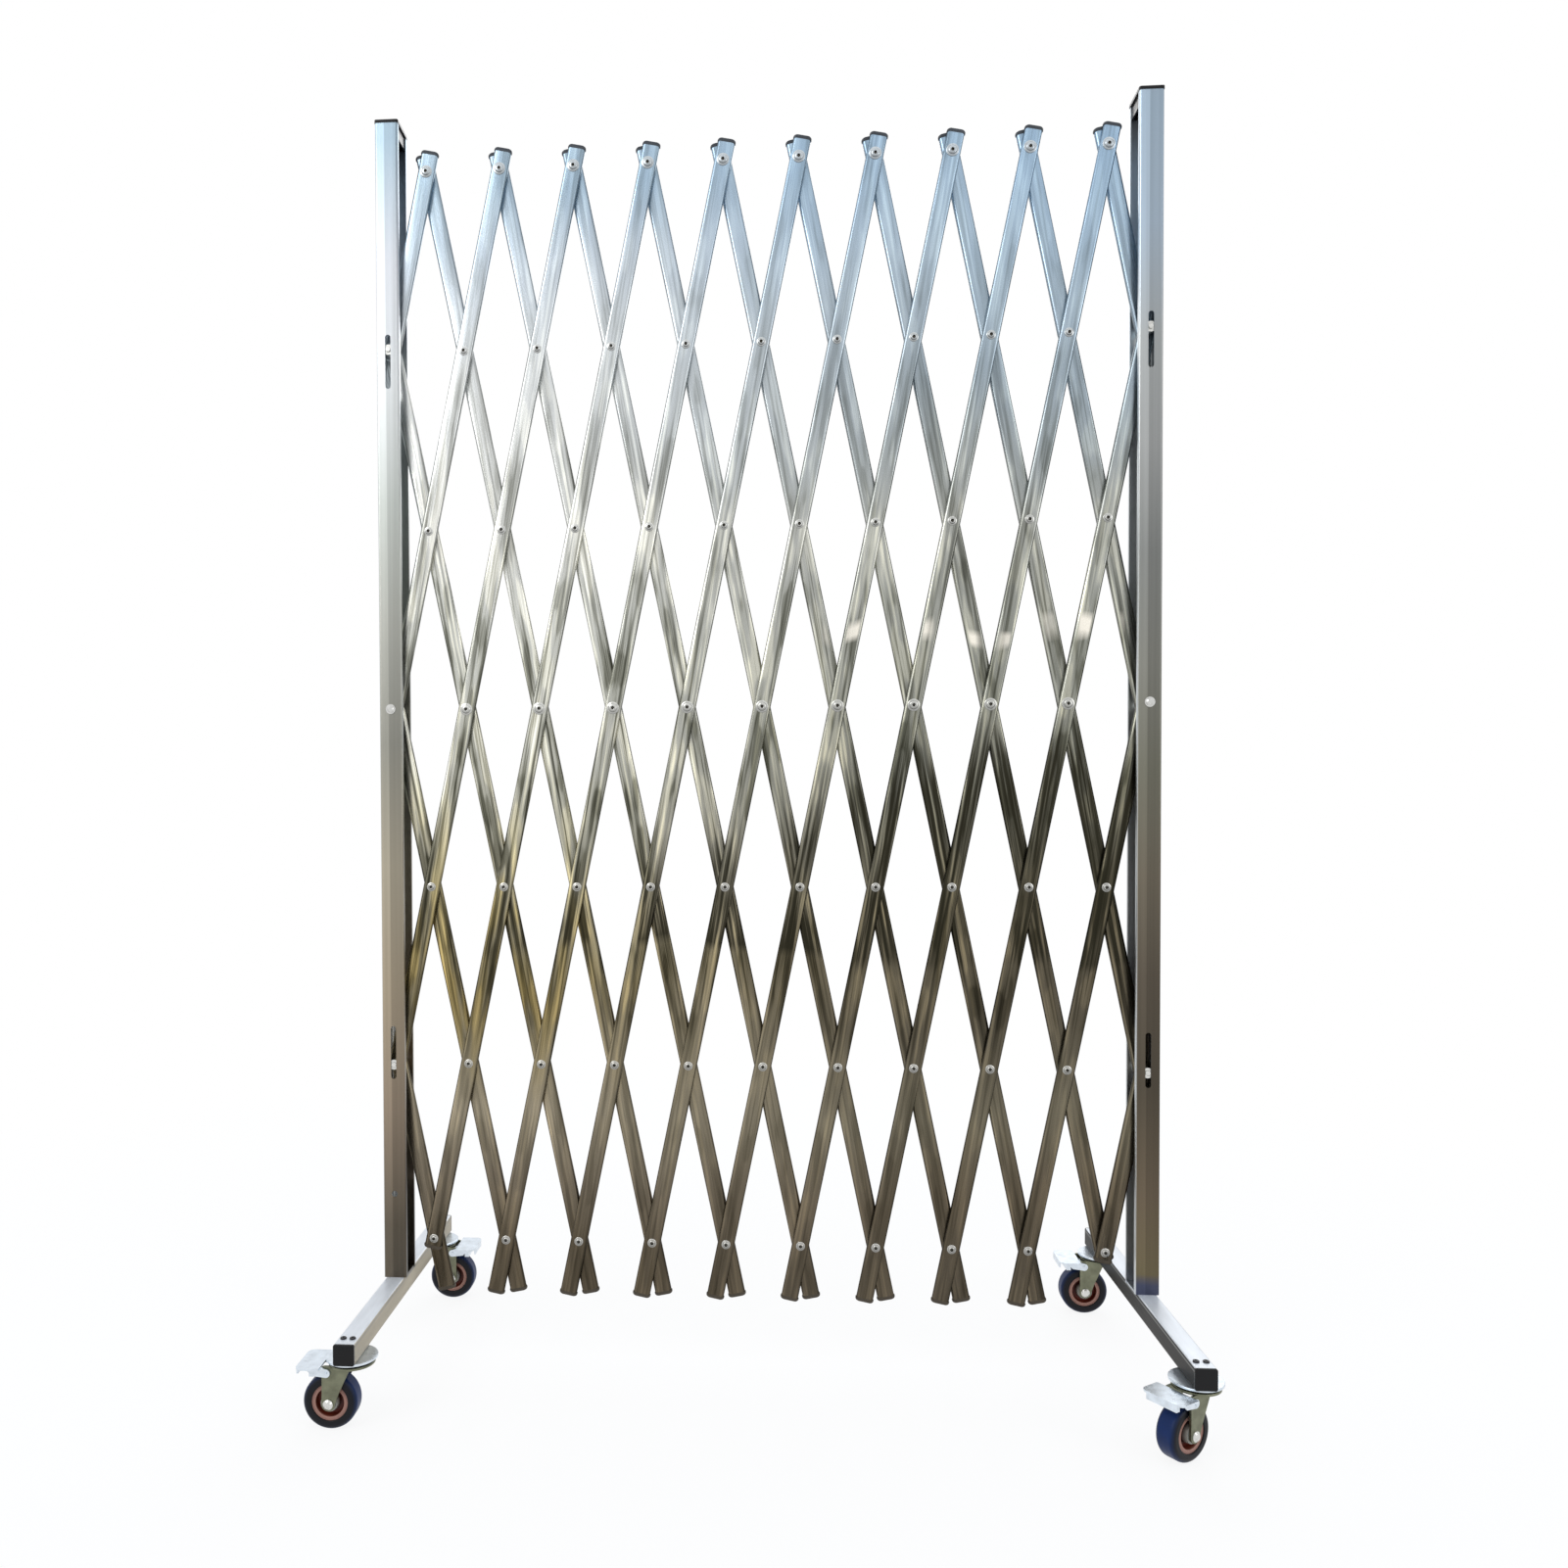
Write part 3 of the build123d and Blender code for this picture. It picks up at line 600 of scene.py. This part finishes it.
def metal(name, color, roughness=0.3, speckle=0.12, grainScale=260.0, lowColor=None):
    # lowColor is the tone of what sits below knee height
    material, tree, finish = freshMaterial(name)
    where = objectPlace(tree)
    spots = noise(tree, where, grainScale, detail=3.0)
    if lowColor:
        knee = span(tree, parts(tree, where)["Z"], *metalLook["kneeHeight"])
        color = blendColors(tree, "MIX", knee, lowColor, color)
    tone = scaled(tree, color, span(tree, spots, *metalLook["spots"], 1 - speckle, 1 + speckle / 3))
    tree.links.new(tone, finish.inputs["Base Color"])
    finish.inputs["Metallic"].default_value = metalLook["metallic"]
    tree.links.new(span(tree, spots, 0.0, 1.0, roughness - metalLook["smoother"],
                        roughness + metalLook["rougher"]), finish.inputs["Roughness"])
    return material


plasticLook = {
    "cloudScale": 45.0,
    "clouds": (0.25, 0.75, 0.75, 1.05),
    "roughnessReach": 0.08,
    "specular": 0.22,
    "grainScale": 900.0,
    "wheelGrainScale": 500.0,
    "reliefStrength": 0.15,
    "reliefDepth": 0.0003,
    "lowToTop": (0.5, 1.2),
}


def plasticFrom(tree, finish, where, tone, roughness, grainScale):
    look = plasticLook
    grain = noise(tree, where, grainScale, detail=3.0)
    cloud = noise(tree, where, look["cloudScale"])
    tree.links.new(scaled(tree, tone, span(tree, cloud, *look["clouds"])), finish.inputs["Base Color"])
    tree.links.new(span(tree, cloud, 0.0, 1.0, roughness - look["roughnessReach"],
                        roughness + look["roughnessReach"]), finish.inputs["Roughness"])
    finish.inputs["Specular IOR Level"].default_value = look["specular"]
    bump = put(tree, "ShaderNodeBump", {
        "Strength": look["reliefStrength"], "Distance": look["reliefDepth"], "Height": grain})
    tree.links.new(bump.outputs[0], finish.inputs["Normal"])


def plastic(name, color, roughness, topColor=None):
    # topColor is the tone of what sits high up
    material, tree, finish = freshMaterial(name)
    where = objectPlace(tree)
    if topColor:
        height = span(tree, parts(tree, where)["Z"], *plasticLook["lowToTop"])
        color = blendColors(tree, "MIX", height, color, topColor)
    plasticFrom(tree, finish, where, color, roughness, plasticLook["grainScale"])
    return material


wheelTones = {
    # metres from the axle, colour
    "core": [(0.0, linear(172, 172, 164)), (0.0098, linear(158, 156, 146)), (0.0112, linear(62, 22, 12)),
             (0.0150, linear(96, 30, 16)), (0.0168, linear(96, 40, 26)), (0.0174, linear(168, 126, 112)),
             (0.0216, linear(142, 104, 94))],
    "tyre": [(0.0216, linear(8, 9, 14)), (0.0285, linear(12, 14, 24)), (0.0312, linear(7, 28, 62)),
             (0.0325, linear(6, 37, 86))],
    "outermost": 0.04,
}


def wheelPlastic(part, corner, roughness):
    # colour by the distance from this wheel's own axle
    material, tree, finish = freshMaterial(f"{corner}_{part}")
    where = objectPlace(tree)
    roll = joints[f"{corner}_roll"]
    arm = vectors(tree, "SUBTRACT", where, roll["pos_m"])
    radius = lengthOf(tree, vectors(tree, "CROSS_PRODUCT", arm, roll["axis"]))
    outermost = wheelTones["outermost"]
    tone = ramp(tree, calc(tree, "DIVIDE", radius, outermost), wheelTones[part], outermost)
    plasticFrom(tree, finish, where, tone, roughness, plasticLook["wheelGrainScale"])
    return material


leftPivot = Vector(joints["lattice_fold"]["pos_m"])
rightPivot = Vector(joints["right_post_pivot"]["pos_m"])
finishes = {
    "slat": slatSteel(slatLook),
    "post": postSteel(postLook, (rightPivot.x - leftPivot.x) / 2, leftPivot.y),
    "foot": footSteel(footLook),
    "rivet": rivetSteel(rivetLook),
    # the mandrel's stub in dark steel; the same finish is painted shade on the walls of each rivet's hollow
    "mandrel": metal("mandrelAndHollowShade", linear(64, 62, 56), 0.4),
    "endPlug": plastic("endPlugGrey", linear(74, 66, 55), 0.4, topColor=linear(66, 70, 75)),
    "bolt": metal("boltSteel", linear(206, 206, 203), 0.28, lowColor=linear(58, 58, 60)),
    "pin": metal("pinSteel", linear(214, 214, 210), 0.25),
    "cap": plastic("blackCap", linear(17, 17, 19), 0.28),
    "zinc": metal("zincPlate", linear(222, 231, 240), 0.30, 0.16, 120.0),
    "fork": metal("forkSteel", linear(122, 124, 104), 0.32, 0.30, 90.0),
}
print("finishes ready:", len(finishes))


# The lattice's plan, from the two fixed pivots

lattice = {
    "columns": 20,        # half columns from post to post
    "rows": 7,
    "rivetPitch": 0.239,
    "width": 0.022,
    "thickness": 0.008,
    "corner": 0.0034,
    "cornerSteps": 7,
    "layerGap": 0.0006,
    "topStub": 0.027,
    "bottomStub": 0.073,
    "shortStub": 0.014,
    "cutRound": 0.0004,   # corners of a tube's free end, under its plug
    "postRound": 0.0106,
    "ringsPerEnd": 7,
    "sharpFrom": 50,      # degrees between two faces that don't shade into one another
}
halfColumn = (rightPivot.x - leftPivot.x) / lattice["columns"]
rise = sqrt(lattice["rivetPitch"] ** 2 - halfColumn ** 2)
lean = asin(halfColumn / lattice["rivetPitch"])
middleRow = (lattice["rows"] + 1) // 2
layerCentre = (lattice["layerGap"] + lattice["thickness"]) / 2


def crossing(column, row):
    return Vector((leftPivot.x + column * halfColumn, leftPivot.y,
                   leftPivot.z + (middleRow - row) * rise))


def pivotsOf(slatSum, rising):
    # from the bottom up; slatSum is what all of a slat's pivots have in common
    points = []
    for row in range(lattice["rows"], 0, -1):
        column = slatSum - row if rising else slatSum + row
        if 0 <= column <= lattice["columns"]:
            points.append((column, row))
    return points


def stubOf(column, row, rising):
    # how far a slat runs past its last pivot, and whether that end is free
    if column in (0, lattice["columns"]):
        return lattice["postRound"], False
    if row == 1:
        return lattice["topStub"], True
    if (column == 1 and rising) or column == lattice["columns"] - 1:
        return lattice["shortStub"], True
    return lattice["bottomStub"], True


def newTree(name, inputs):
    # inputs: name -> (socket type, start value)
    tree = bpy.data.node_groups.new(name, "GeometryNodeTree")
    tree.interface.new_socket("Geometry", in_out="OUTPUT", socket_type="NodeSocketGeometry")
    for label, (kind, value) in inputs.items():
        socket = tree.interface.new_socket(label, in_out="INPUT", socket_type=kind)
        if value is not None:
            socket.default_value = value
    return tree, put(tree, "NodeGroupInput").outputs


def meshFromTree(name, tree, values):
    # a host object wears the tree once, and its result becomes a plain mesh
    host = bpy.data.objects.new(name + "Host", bpy.data.meshes.new(name + "Host"))
    bpy.context.scene.collection.objects.link(host)
    wearer = host.modifiers.new(name, "NODES")
    wearer.node_group = tree
    places = {item.name: item.identifier for item in tree.interface.items_tree
              if item.in_out == "INPUT"}
    for label, value in values.items():
        wearer[places[label]] = value
    graph = bpy.context.evaluated_depsgraph_get()
    graph.update()
    mesh = bpy.data.meshes.new_from_object(host.evaluated_get(graph), depsgraph=graph)
    mesh.name = name
    bpy.data.objects.remove(host)
    return mesh


def addPiece(name, mesh, body):
    piece = bpy.data.objects.new(name, mesh)
    bpy.context.scene.collection.objects.link(piece)
    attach(piece, body)
    return piece


def slatTree():
    tree, given = newTree("flatTube", {
        "Width": ("NodeSocketFloat", lattice["width"]),
        "Thickness": ("NodeSocketFloat", lattice["thickness"]),
        "Corner": ("NodeSocketFloat", lattice["corner"]),
        "Low End": ("NodeSocketFloat", 0.0),
        "High End": ("NodeSocketFloat", lattice["rivetPitch"]),
        "Low Round": ("NodeSocketFloat", lattice["cutRound"]),
        "High Round": ("NodeSocketFloat", lattice["cutRound"]),
        "Material": ("NodeSocketMaterial", None),
    })
    rings = lattice["ringsPerEnd"]
    axis = put(tree, "GeometryNodeCurvePrimitiveLine", {"End": (0, 0, 1)})
    dense = put(tree, "GeometryNodeResampleCurve", {"Curve": axis.outputs[0], "Count": 2 * rings})
    index = put(tree, "GeometryNodeInputIndex").outputs[0]
    isHigh = calc(tree, "GREATER_THAN", index, rings - 0.5)
    fromHigh = calc(tree, "SUBTRACT", 2 * rings - 1, index)
    step = calc(tree, "MINIMUM", index, fromHigh)
    angle = calc(tree, "MULTIPLY", step, pi / 2 / (rings - 1))
    roundDifference = calc(tree, "SUBTRACT", given["High Round"], given["Low Round"])
    radius = calc(tree, "MULTIPLY_ADD", isHigh, roundDifference, given["Low Round"])
    inset = calc(tree, "MULTIPLY", radius, calc(tree, "SUBTRACT", 1.0, calc(tree, "COSINE", angle)))
    lowHeight = calc(tree, "ADD", given["Low End"], inset)
    highHeight = calc(tree, "SUBTRACT", given["High End"], inset)
    height = calc(tree, "MULTIPLY_ADD", isHigh, calc(tree, "SUBTRACT", highHeight, lowHeight), lowHeight)
    drawnIn = calc(tree, "MULTIPLY", radius, calc(tree, "SUBTRACT", 1.0, calc(tree, "SINE", angle)))
    halfWidth = calc(tree, "MULTIPLY", given["Width"], 0.5)
    share = calc(tree, "SUBTRACT", 1.0, calc(tree, "DIVIDE", drawnIn, halfWidth))
    placed = put(tree, "GeometryNodeSetPosition", {
        "Geometry": dense.outputs[0],
        "Position": put(tree, "ShaderNodeCombineXYZ", {"Z": height}).outputs[0]})
    kept = put(tree, "GeometryNodeCaptureAttribute", {"Geometry": placed.outputs[0]})
    kept.capture_items.new("FLOAT", "Share")
    tree.links.new(share, kept.inputs["Share"])
    section = put(tree, "GeometryNodeCurvePrimitiveQuadrilateral", {
        "Width": given["Width"], "Height": given["Thickness"]})
    rounded = put(tree, "GeometryNodeFilletCurve", {
        "Curve": section.outputs[0], "Count": lattice["cornerSteps"],
        "Radius": given["Corner"]}, mode="POLY")
    swept = put(tree, "GeometryNodeCurveToMesh", {
        "Curve": kept.outputs[0], "Profile Curve": rounded.outputs[0], "Fill Caps": True})
    at = parts(tree, put(tree, "GeometryNodeInputPosition").outputs[0])
    narrowed = put(tree, "ShaderNodeCombineXYZ", {
        "X": calc(tree, "MULTIPLY", at["X"], kept.outputs["Share"]),
        "Y": at["Y"], "Z": at["Z"]})
    shaped = put(tree, "GeometryNodeSetPosition", {
        "Geometry": swept.outputs[0], "Position": narrowed.outputs[0]})
    marked = put(tree, "GeometryNodeStoreNamedAttribute", {
        "Geometry": shaped.outputs[0], "Name": "slatPlace",
        "Value": put(tree, "GeometryNodeInputPosition").outputs[0]},
        data_type="FLOAT_VECTOR", domain="POINT")
    smooth = put(tree, "GeometryNodeSetShadeSmooth", {"Geometry": marked.outputs[0]})
    corner = put(tree, "GeometryNodeInputMeshEdgeAngle").outputs[0]
    sharp = put(tree, "GeometryNodeSetShadeSmooth", {
        "Geometry": smooth.outputs[0], "Shade Smooth": False,
        "Selection": calc(tree, "GREATER_THAN", corner, radians(lattice["sharpFrom"]))}, domain="EDGE")
    real = put(tree, "GeometryNodeRealizeInstances", {"Geometry": sharp.outputs[0]})
    dressed = put(tree, "GeometryNodeSetMaterial", {
        "Geometry": real.outputs[0], "Material": given["Material"]})
    put(tree, "NodeGroupOutput", {0: dressed.outputs[0]})
    return tree


turning = {
    "steps": 40,
    "mergeWithin": 1e-6,
    "sharpFrom": 38,      # degrees between two faces that don't shade into one another
}


def turnedMesh(name, profile, steps):
    # turned about Y from points of radius and Y
    work = bmesh.new()
    for radius, y in profile:
        work.verts.new((radius, y, 0.0))
    work.verts.ensure_lookup_table()
    edges = [work.edges.new((work.verts[i], work.verts[i + 1])) for i in range(len(profile) - 1)]
    bmesh.ops.spin(work, geom=list(work.verts) + edges, cent=(0, 0, 0), axis=(0, 1, 0),
                   angle=2 * pi, steps=steps)
    bmesh.ops.remove_doubles(work, verts=work.verts, dist=turning["mergeWithin"])
    bmesh.ops.recalc_face_normals(work, faces=work.faces)
    for face in work.faces:
        face.smooth = True
    for edge in work.edges:
        edge.smooth = edge.calc_face_angle(0.0) < radians(turning["sharpFrom"])
    mesh = bpy.data.meshes.new(name)
    work.to_mesh(mesh)
    work.free()
    return mesh


rivetSettings = {
    "flange": 0.0058,
    "wideFlange": 0.0080,
    "flangeThickness": 0.0007,
    "flangeSide": 0.7,    # share of its thickness that stands straight
    "flangeEdge": 0.4,    # and that its rim is drawn in by
    "height": 0.0026,
    "dome": 0.70,         # share of the flange that the dome covers
    "domeStart": 1.35,    # flange thicknesses up
    "domeSteps": 5,
    "crown": 1.1,         # hollow radii, where the dome ends
    "hollow": 0.0021,     # where the mandrel broke off
    "hollowDepth": 0.0014,
    "mouth": 1.25,        # hollow radii
    "mouthEdge": 0.0002,
    "mandrel": 0.8,       # of the hollow's radius
    "mandrelEdge": 0.0003,
    "mandrelTip": 0.0004,
    "markWithin": 1.02,   # hollow radii, for the dark mandrel finish, which also paints shade on the hollow's walls
    "tail": 0.0046,       # formed head at the back
    "tailHeight": 0.0018,
    "tailSide": 0.4,      # share of its height that stands straight
    "tailSteps": 4,
    "tailGap": 0.0001,
    "shank": 0.0032,
}


def sourceObject(name, profile, settings):
    # a part that a tree repeats; faces inside the hollow are marked for the dark mandrel finish, which is
    # also painted shade on the hollow's walls
    mesh = turnedMesh(name, profile, turning["steps"])
    marks = mesh.attributes.new("hollow", "FLOAT", "FACE")
    markRadius = settings["hollow"] * settings["markWithin"]
    for face in mesh.polygons:
        flatRadius = sqrt(face.center.x ** 2 + face.center.z ** 2)
        marks.data[face.index].value = float(flatRadius < markRadius and face.center.y < 0)
    source = bpy.data.objects.new(name, mesh)
    bpy.context.scene.collection.objects.link(source)
    return source


def rivetSource(name, flange, settings):
    # a pulled rivet: a thin flange, a domed collar and the stub of its mandrel deep inside
    height, hollow, rim = settings["height"], settings["hollow"], settings["flangeThickness"]
    dome, crown = flange * settings["dome"], hollow * settings["crown"]
    start, deep = rim * settings["domeStart"], height - settings["hollowDepth"]
    profile = [(0, 0), (flange, 0), (flange, -rim * settings["flangeSide"]),
               (flange - rim * settings["flangeEdge"], -rim), (dome, -start)]
    for part in range(1, settings["domeSteps"] + 1):
        angle = part / settings["domeSteps"] * pi / 2
        profile.append((crown + (dome - crown) * cos(angle), -start - (height - start) * sin(angle)))
    profile += [(hollow * settings["mouth"], -height), (hollow, settings["mouthEdge"] - height),
                (hollow, -deep), (hollow * settings["mandrel"], -deep - settings["mandrelEdge"]),
                (0, -deep - settings["mandrelTip"])]
    return sourceObject(name, profile, settings)


def tailSource(name, settings):
    # the shank and the formed head behind the back slat
    tail, height, shank = settings["tail"], settings["tailHeight"], settings["shank"]
    front, gap, side = -2 * lattice["thickness"], settings["tailGap"], settings["tailSide"]
    profile = [(0, front), (shank, front), (shank, gap), (tail, gap), (tail, height * side)]
    for part in range(1, settings["tailSteps"] + 1):
        angle = part / settings["tailSteps"] * pi / 2
        profile.append((tail * cos(angle), height * (side + (1 - side) * sin(angle))))
    return sourceObject(name, profile, settings)


def rivetTree():
    tree, given = newTree("rivetRow", {
        "Rivet": ("NodeSocketObject", None),
        "Wide Rivet": ("NodeSocketObject", None),
        "Tail": ("NodeSocketObject", None),
        "Pitch": ("NodeSocketFloat", lattice["rivetPitch"]),
        "First": ("NodeSocketInt", 0),
        "Count": ("NodeSocketInt", lattice["rows"]),
        "Lowest Row": ("NodeSocketInt", lattice["rows"]),
        "Front Face": ("NodeSocketFloat", 0.0),
        "Back Face": ("NodeSocketFloat", 0.0),
        "Material": ("NodeSocketMaterial", None),
        "Mandrel And Hollow Shade Material": ("NodeSocketMaterial", None),
    })
    start = calc(tree, "MULTIPLY", given["First"], given["Pitch"])
    step = put(tree, "ShaderNodeCombineXYZ", {"Z": given["Pitch"]}).outputs[0]
    lines = []
    for face in ("Front Face", "Back Face"):
        first = put(tree, "ShaderNodeCombineXYZ", {"Y": given[face], "Z": start}).outputs[0]
        lines.append(put(tree, "GeometryNodeMeshLine", {
            "Count": given["Count"], "Start Location": first, "Offset": step}).outputs[0])
    index = put(tree, "GeometryNodeInputIndex").outputs[0]
    row = calc(tree, "SUBTRACT", calc(tree, "SUBTRACT", given["Lowest Row"], given["First"]), index)
    near = 0.1            # rows are whole numbers
    isTop = calc(tree, "COMPARE", row, 1.0, near)
    isMiddle = calc(tree, "COMPARE", row, float(middleRow), near)
    isWide = calc(tree, "MAXIMUM", isTop, isMiddle)
    isNarrow = calc(tree, "SUBTRACT", 1.0, isWide)
    joined = put(tree, "GeometryNodeJoinGeometry")
    for label, line, chosen in (("Rivet", lines[0], isNarrow), ("Wide Rivet", lines[0], isWide),
                                ("Tail", lines[1], True)):
        source = put(tree, "GeometryNodeObjectInfo", {"Object": given[label]})
        placed = put(tree, "GeometryNodeInstanceOnPoints", {
            "Points": line, "Selection": chosen, "Instance": source.outputs["Geometry"]})
        tree.links.new(placed.outputs[0], joined.inputs[0])
    real = put(tree, "GeometryNodeRealizeInstances", {"Geometry": joined.outputs[0]})
    dressed = put(tree, "GeometryNodeSetMaterial", {
        "Geometry": real.outputs[0], "Material": given["Material"]})
    # faces in the hollow take the dark finish: the mandrel's stub, and painted shade on the hollow's walls
    hollow = put(tree, "GeometryNodeInputNamedAttribute", {"Name": "hollow"}, data_type="FLOAT")
    inHollow = calc(tree, "GREATER_THAN", hollow.outputs[0], 0.5)
    finished = put(tree, "GeometryNodeSetMaterial", {
        "Geometry": dressed.outputs[0], "Selection": inHollow, "Material": given["Mandrel And Hollow Shade Material"]})
    put(tree, "NodeGroupOutput", {0: finished.outputs[0]})
    return tree


slidingPin = {
    "steps": 28,
    "radius": 0.0032,
    "reach": 0.0231,      # half its length
    "edge": 0.0004,
    "sleeveOuter": 0.0066,
    "sleeveInner": 0.0033,
    "sleeveNear": 0.0084,
    "sleeveFar": 0.0207,
}


def pinMesh(name, places, settings):
    # pins with their two sleeves, one set at each place
    radius, reach, edge = settings["radius"], settings["reach"], settings["edge"]
    outer, inner = settings["sleeveOuter"], settings["sleeveInner"]
    near, far = settings["sleeveNear"], settings["sleeveFar"]
    profiles = [[(0, -reach), (radius - edge, -reach), (radius, edge - reach), (radius, reach - edge),
                 (radius - edge, reach), (0, reach)]]
    for low, high in ((near, far), (-far, -near)):
        profiles.append([(inner, low), (outer, low), (outer, high), (inner, high), (inner, low)])
    work = bmesh.new()
    for place in places:
        for profile in profiles:
            part = turnedMesh(name, profile, settings["steps"])
            part.transform(Matrix.Translation(place))
            work.from_mesh(part)
            bpy.data.meshes.remove(part)
    mesh = bpy.data.meshes.new(name)
    work.to_mesh(mesh)
    work.free()
    mesh.materials.append(finishes["pin"])
    return mesh


endPlug = {
    "length": 0.0045,
    "overhang": 0.0009,   # past the tube on each side
    "corner": 0.0030,
    "innerCorner": 0.0003,
}


def addTube(node, tube, place, low, high, lowFree, highFree):
    # a free end leaves room for its plug
    spare, cut, postRound = endPlug["length"], lattice["cutRound"], lattice["postRound"]
    mesh = meshFromTree(f"{node}_tube", tube, {
        "Low End": low + spare * lowFree, "High End": high - spare * highFree,
        "Low Round": cut if lowFree else postRound,
        "High Round": cut if highFree else postRound,
        "Material": finishes["slat"]})
    mesh.transform(place)
    piece = addPiece(f"{node}_tube", mesh, node)
    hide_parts(node)


def addPlugs(node, tube, place, low, high, lowFree, highFree):
    length, outer, inner = endPlug["length"], endPlug["corner"], endPlug["innerCorner"]
    ends = []
    if lowFree:
        ends.append((low, low + length, outer, inner))
    if highFree:
        ends.append((high - length, high, inner, outer))
    for end, (bottom, top, lowCorner, highCorner) in enumerate(ends):
        plug = meshFromTree(f"{node}_plug_{end}", tube, {
            "Width": lattice["width"] + 2 * endPlug["overhang"], "Low End": bottom,
            "High End": top, "Low Round": lowCorner, "High Round": highCorner,
            "Material": finishes["endPlug"]})
        plug.transform(place)
        addPiece(f"{node}_plug_{end}", plug, node)


def addRivets(node, rivets, sources, place, pivots):
    # the rivets and the sliding pins ride on the front slats
    inside = [n for n, (column, _) in enumerate(pivots) if column not in (0, lattice["columns"])]
    narrow, wide, tail = sources
    front = -lattice["thickness"] / 2
    row = meshFromTree(f"{node}_rivets", rivets, {
        "Rivet": narrow, "Wide Rivet": wide, "Tail": tail, "First": inside[0],
        "Count": len(inside), "Lowest Row": pivots[0][1], "Front Face": front,
        "Back Face": front + 2 * lattice["thickness"] + lattice["layerGap"],
        "Material": finishes["rivet"], "Mandrel And Hollow Shade Material": finishes["mandrel"]})
    row.transform(place)
    addPiece(f"{node}_rivets", row, node)
    sliding = [crossing(column, row) for column, row in pivots
               if column in (0, lattice["columns"]) and row != middleRow]
    if sliding:
        pins = pinMesh(f"{node}_pins", sliding, slidingPin)
        addPiece(f"{node}_pins", pins, node)


def addLattice():
    tube, rivets = slatTree(), rivetTree()
    sources = (rivetSource("narrowRivet", rivetSettings["flange"], rivetSettings),
               rivetSource("wideRivet", rivetSettings["wideFlange"], rivetSettings),
               tailSource("rivetTail", rivetSettings))
    layers = (
        ("front", range(2, lattice["columns"] + lattice["rows"], 2), -1, lean),
        ("back", range(1 - lattice["rows"], lattice["columns"] - 1, 2), 1, -lean),
    )
    for layer, sums, side, leaning in layers:
        rising = layer == "front"
        for number, slatSum in enumerate(sums, 1):
            node = f"{layer}_slat_{number:02d}"
            pivots = pivotsOf(slatSum, rising)
            lowStub, lowFree = stubOf(*pivots[0], rising)
            highStub, highFree = stubOf(*pivots[-1], rising)
            ends = (-lowStub, (len(pivots) - 1) * lattice["rivetPitch"] + highStub, lowFree, highFree)
            place = Matrix.Translation(crossing(*pivots[0]) + Vector((0, side * layerCentre, 0)))
            place = place @ Matrix.Rotation(leaning, 4, "Y")
            addTube(node, tube, place, *ends)
            addPlugs(node, tube, place, *ends)
            if rising:
                addRivets(node, rivets, sources, place, pivots)
    for source in sources:
        bpy.data.objects.remove(source)


addLattice()
print("lattice ready")


# Everything else keeps its own solids

def dress(node, finish):
    piece = cadNodes[node]
    piece.data.materials.clear()
    piece.data.materials.append(finish)


for word in ("left", "right"):
    dress(f"{word}_post", finishes["post"])
    dress(f"{word}_foot_bar", finishes["foot"])
    dress(f"{word}_post_cap", finishes["cap"])
    dress(f"{word}_foot_plugs", finishes["cap"])
    dress(f"{word}_fasteners", finishes["bolt"])
    dress(f"{word}_caster_plates", finishes["zinc"])
    dress(f"{word}_swivel_bearings", finishes["bolt"])
for corner in ("front_left", "rear_left", "front_right", "rear_right"):
    dress(f"{corner}_fork", finishes["fork"])
    dress(f"{corner}_axle", finishes["pin"])
    dress(f"{corner}_tyre", wheelPlastic("tyre", corner, 0.42))
    dress(f"{corner}_wheel_core", wheelPlastic("core", corner, 0.38))
    dress(f"{corner}_pedal", finishes["zinc"])
print("posts, feet and casters dressed")

print("done")
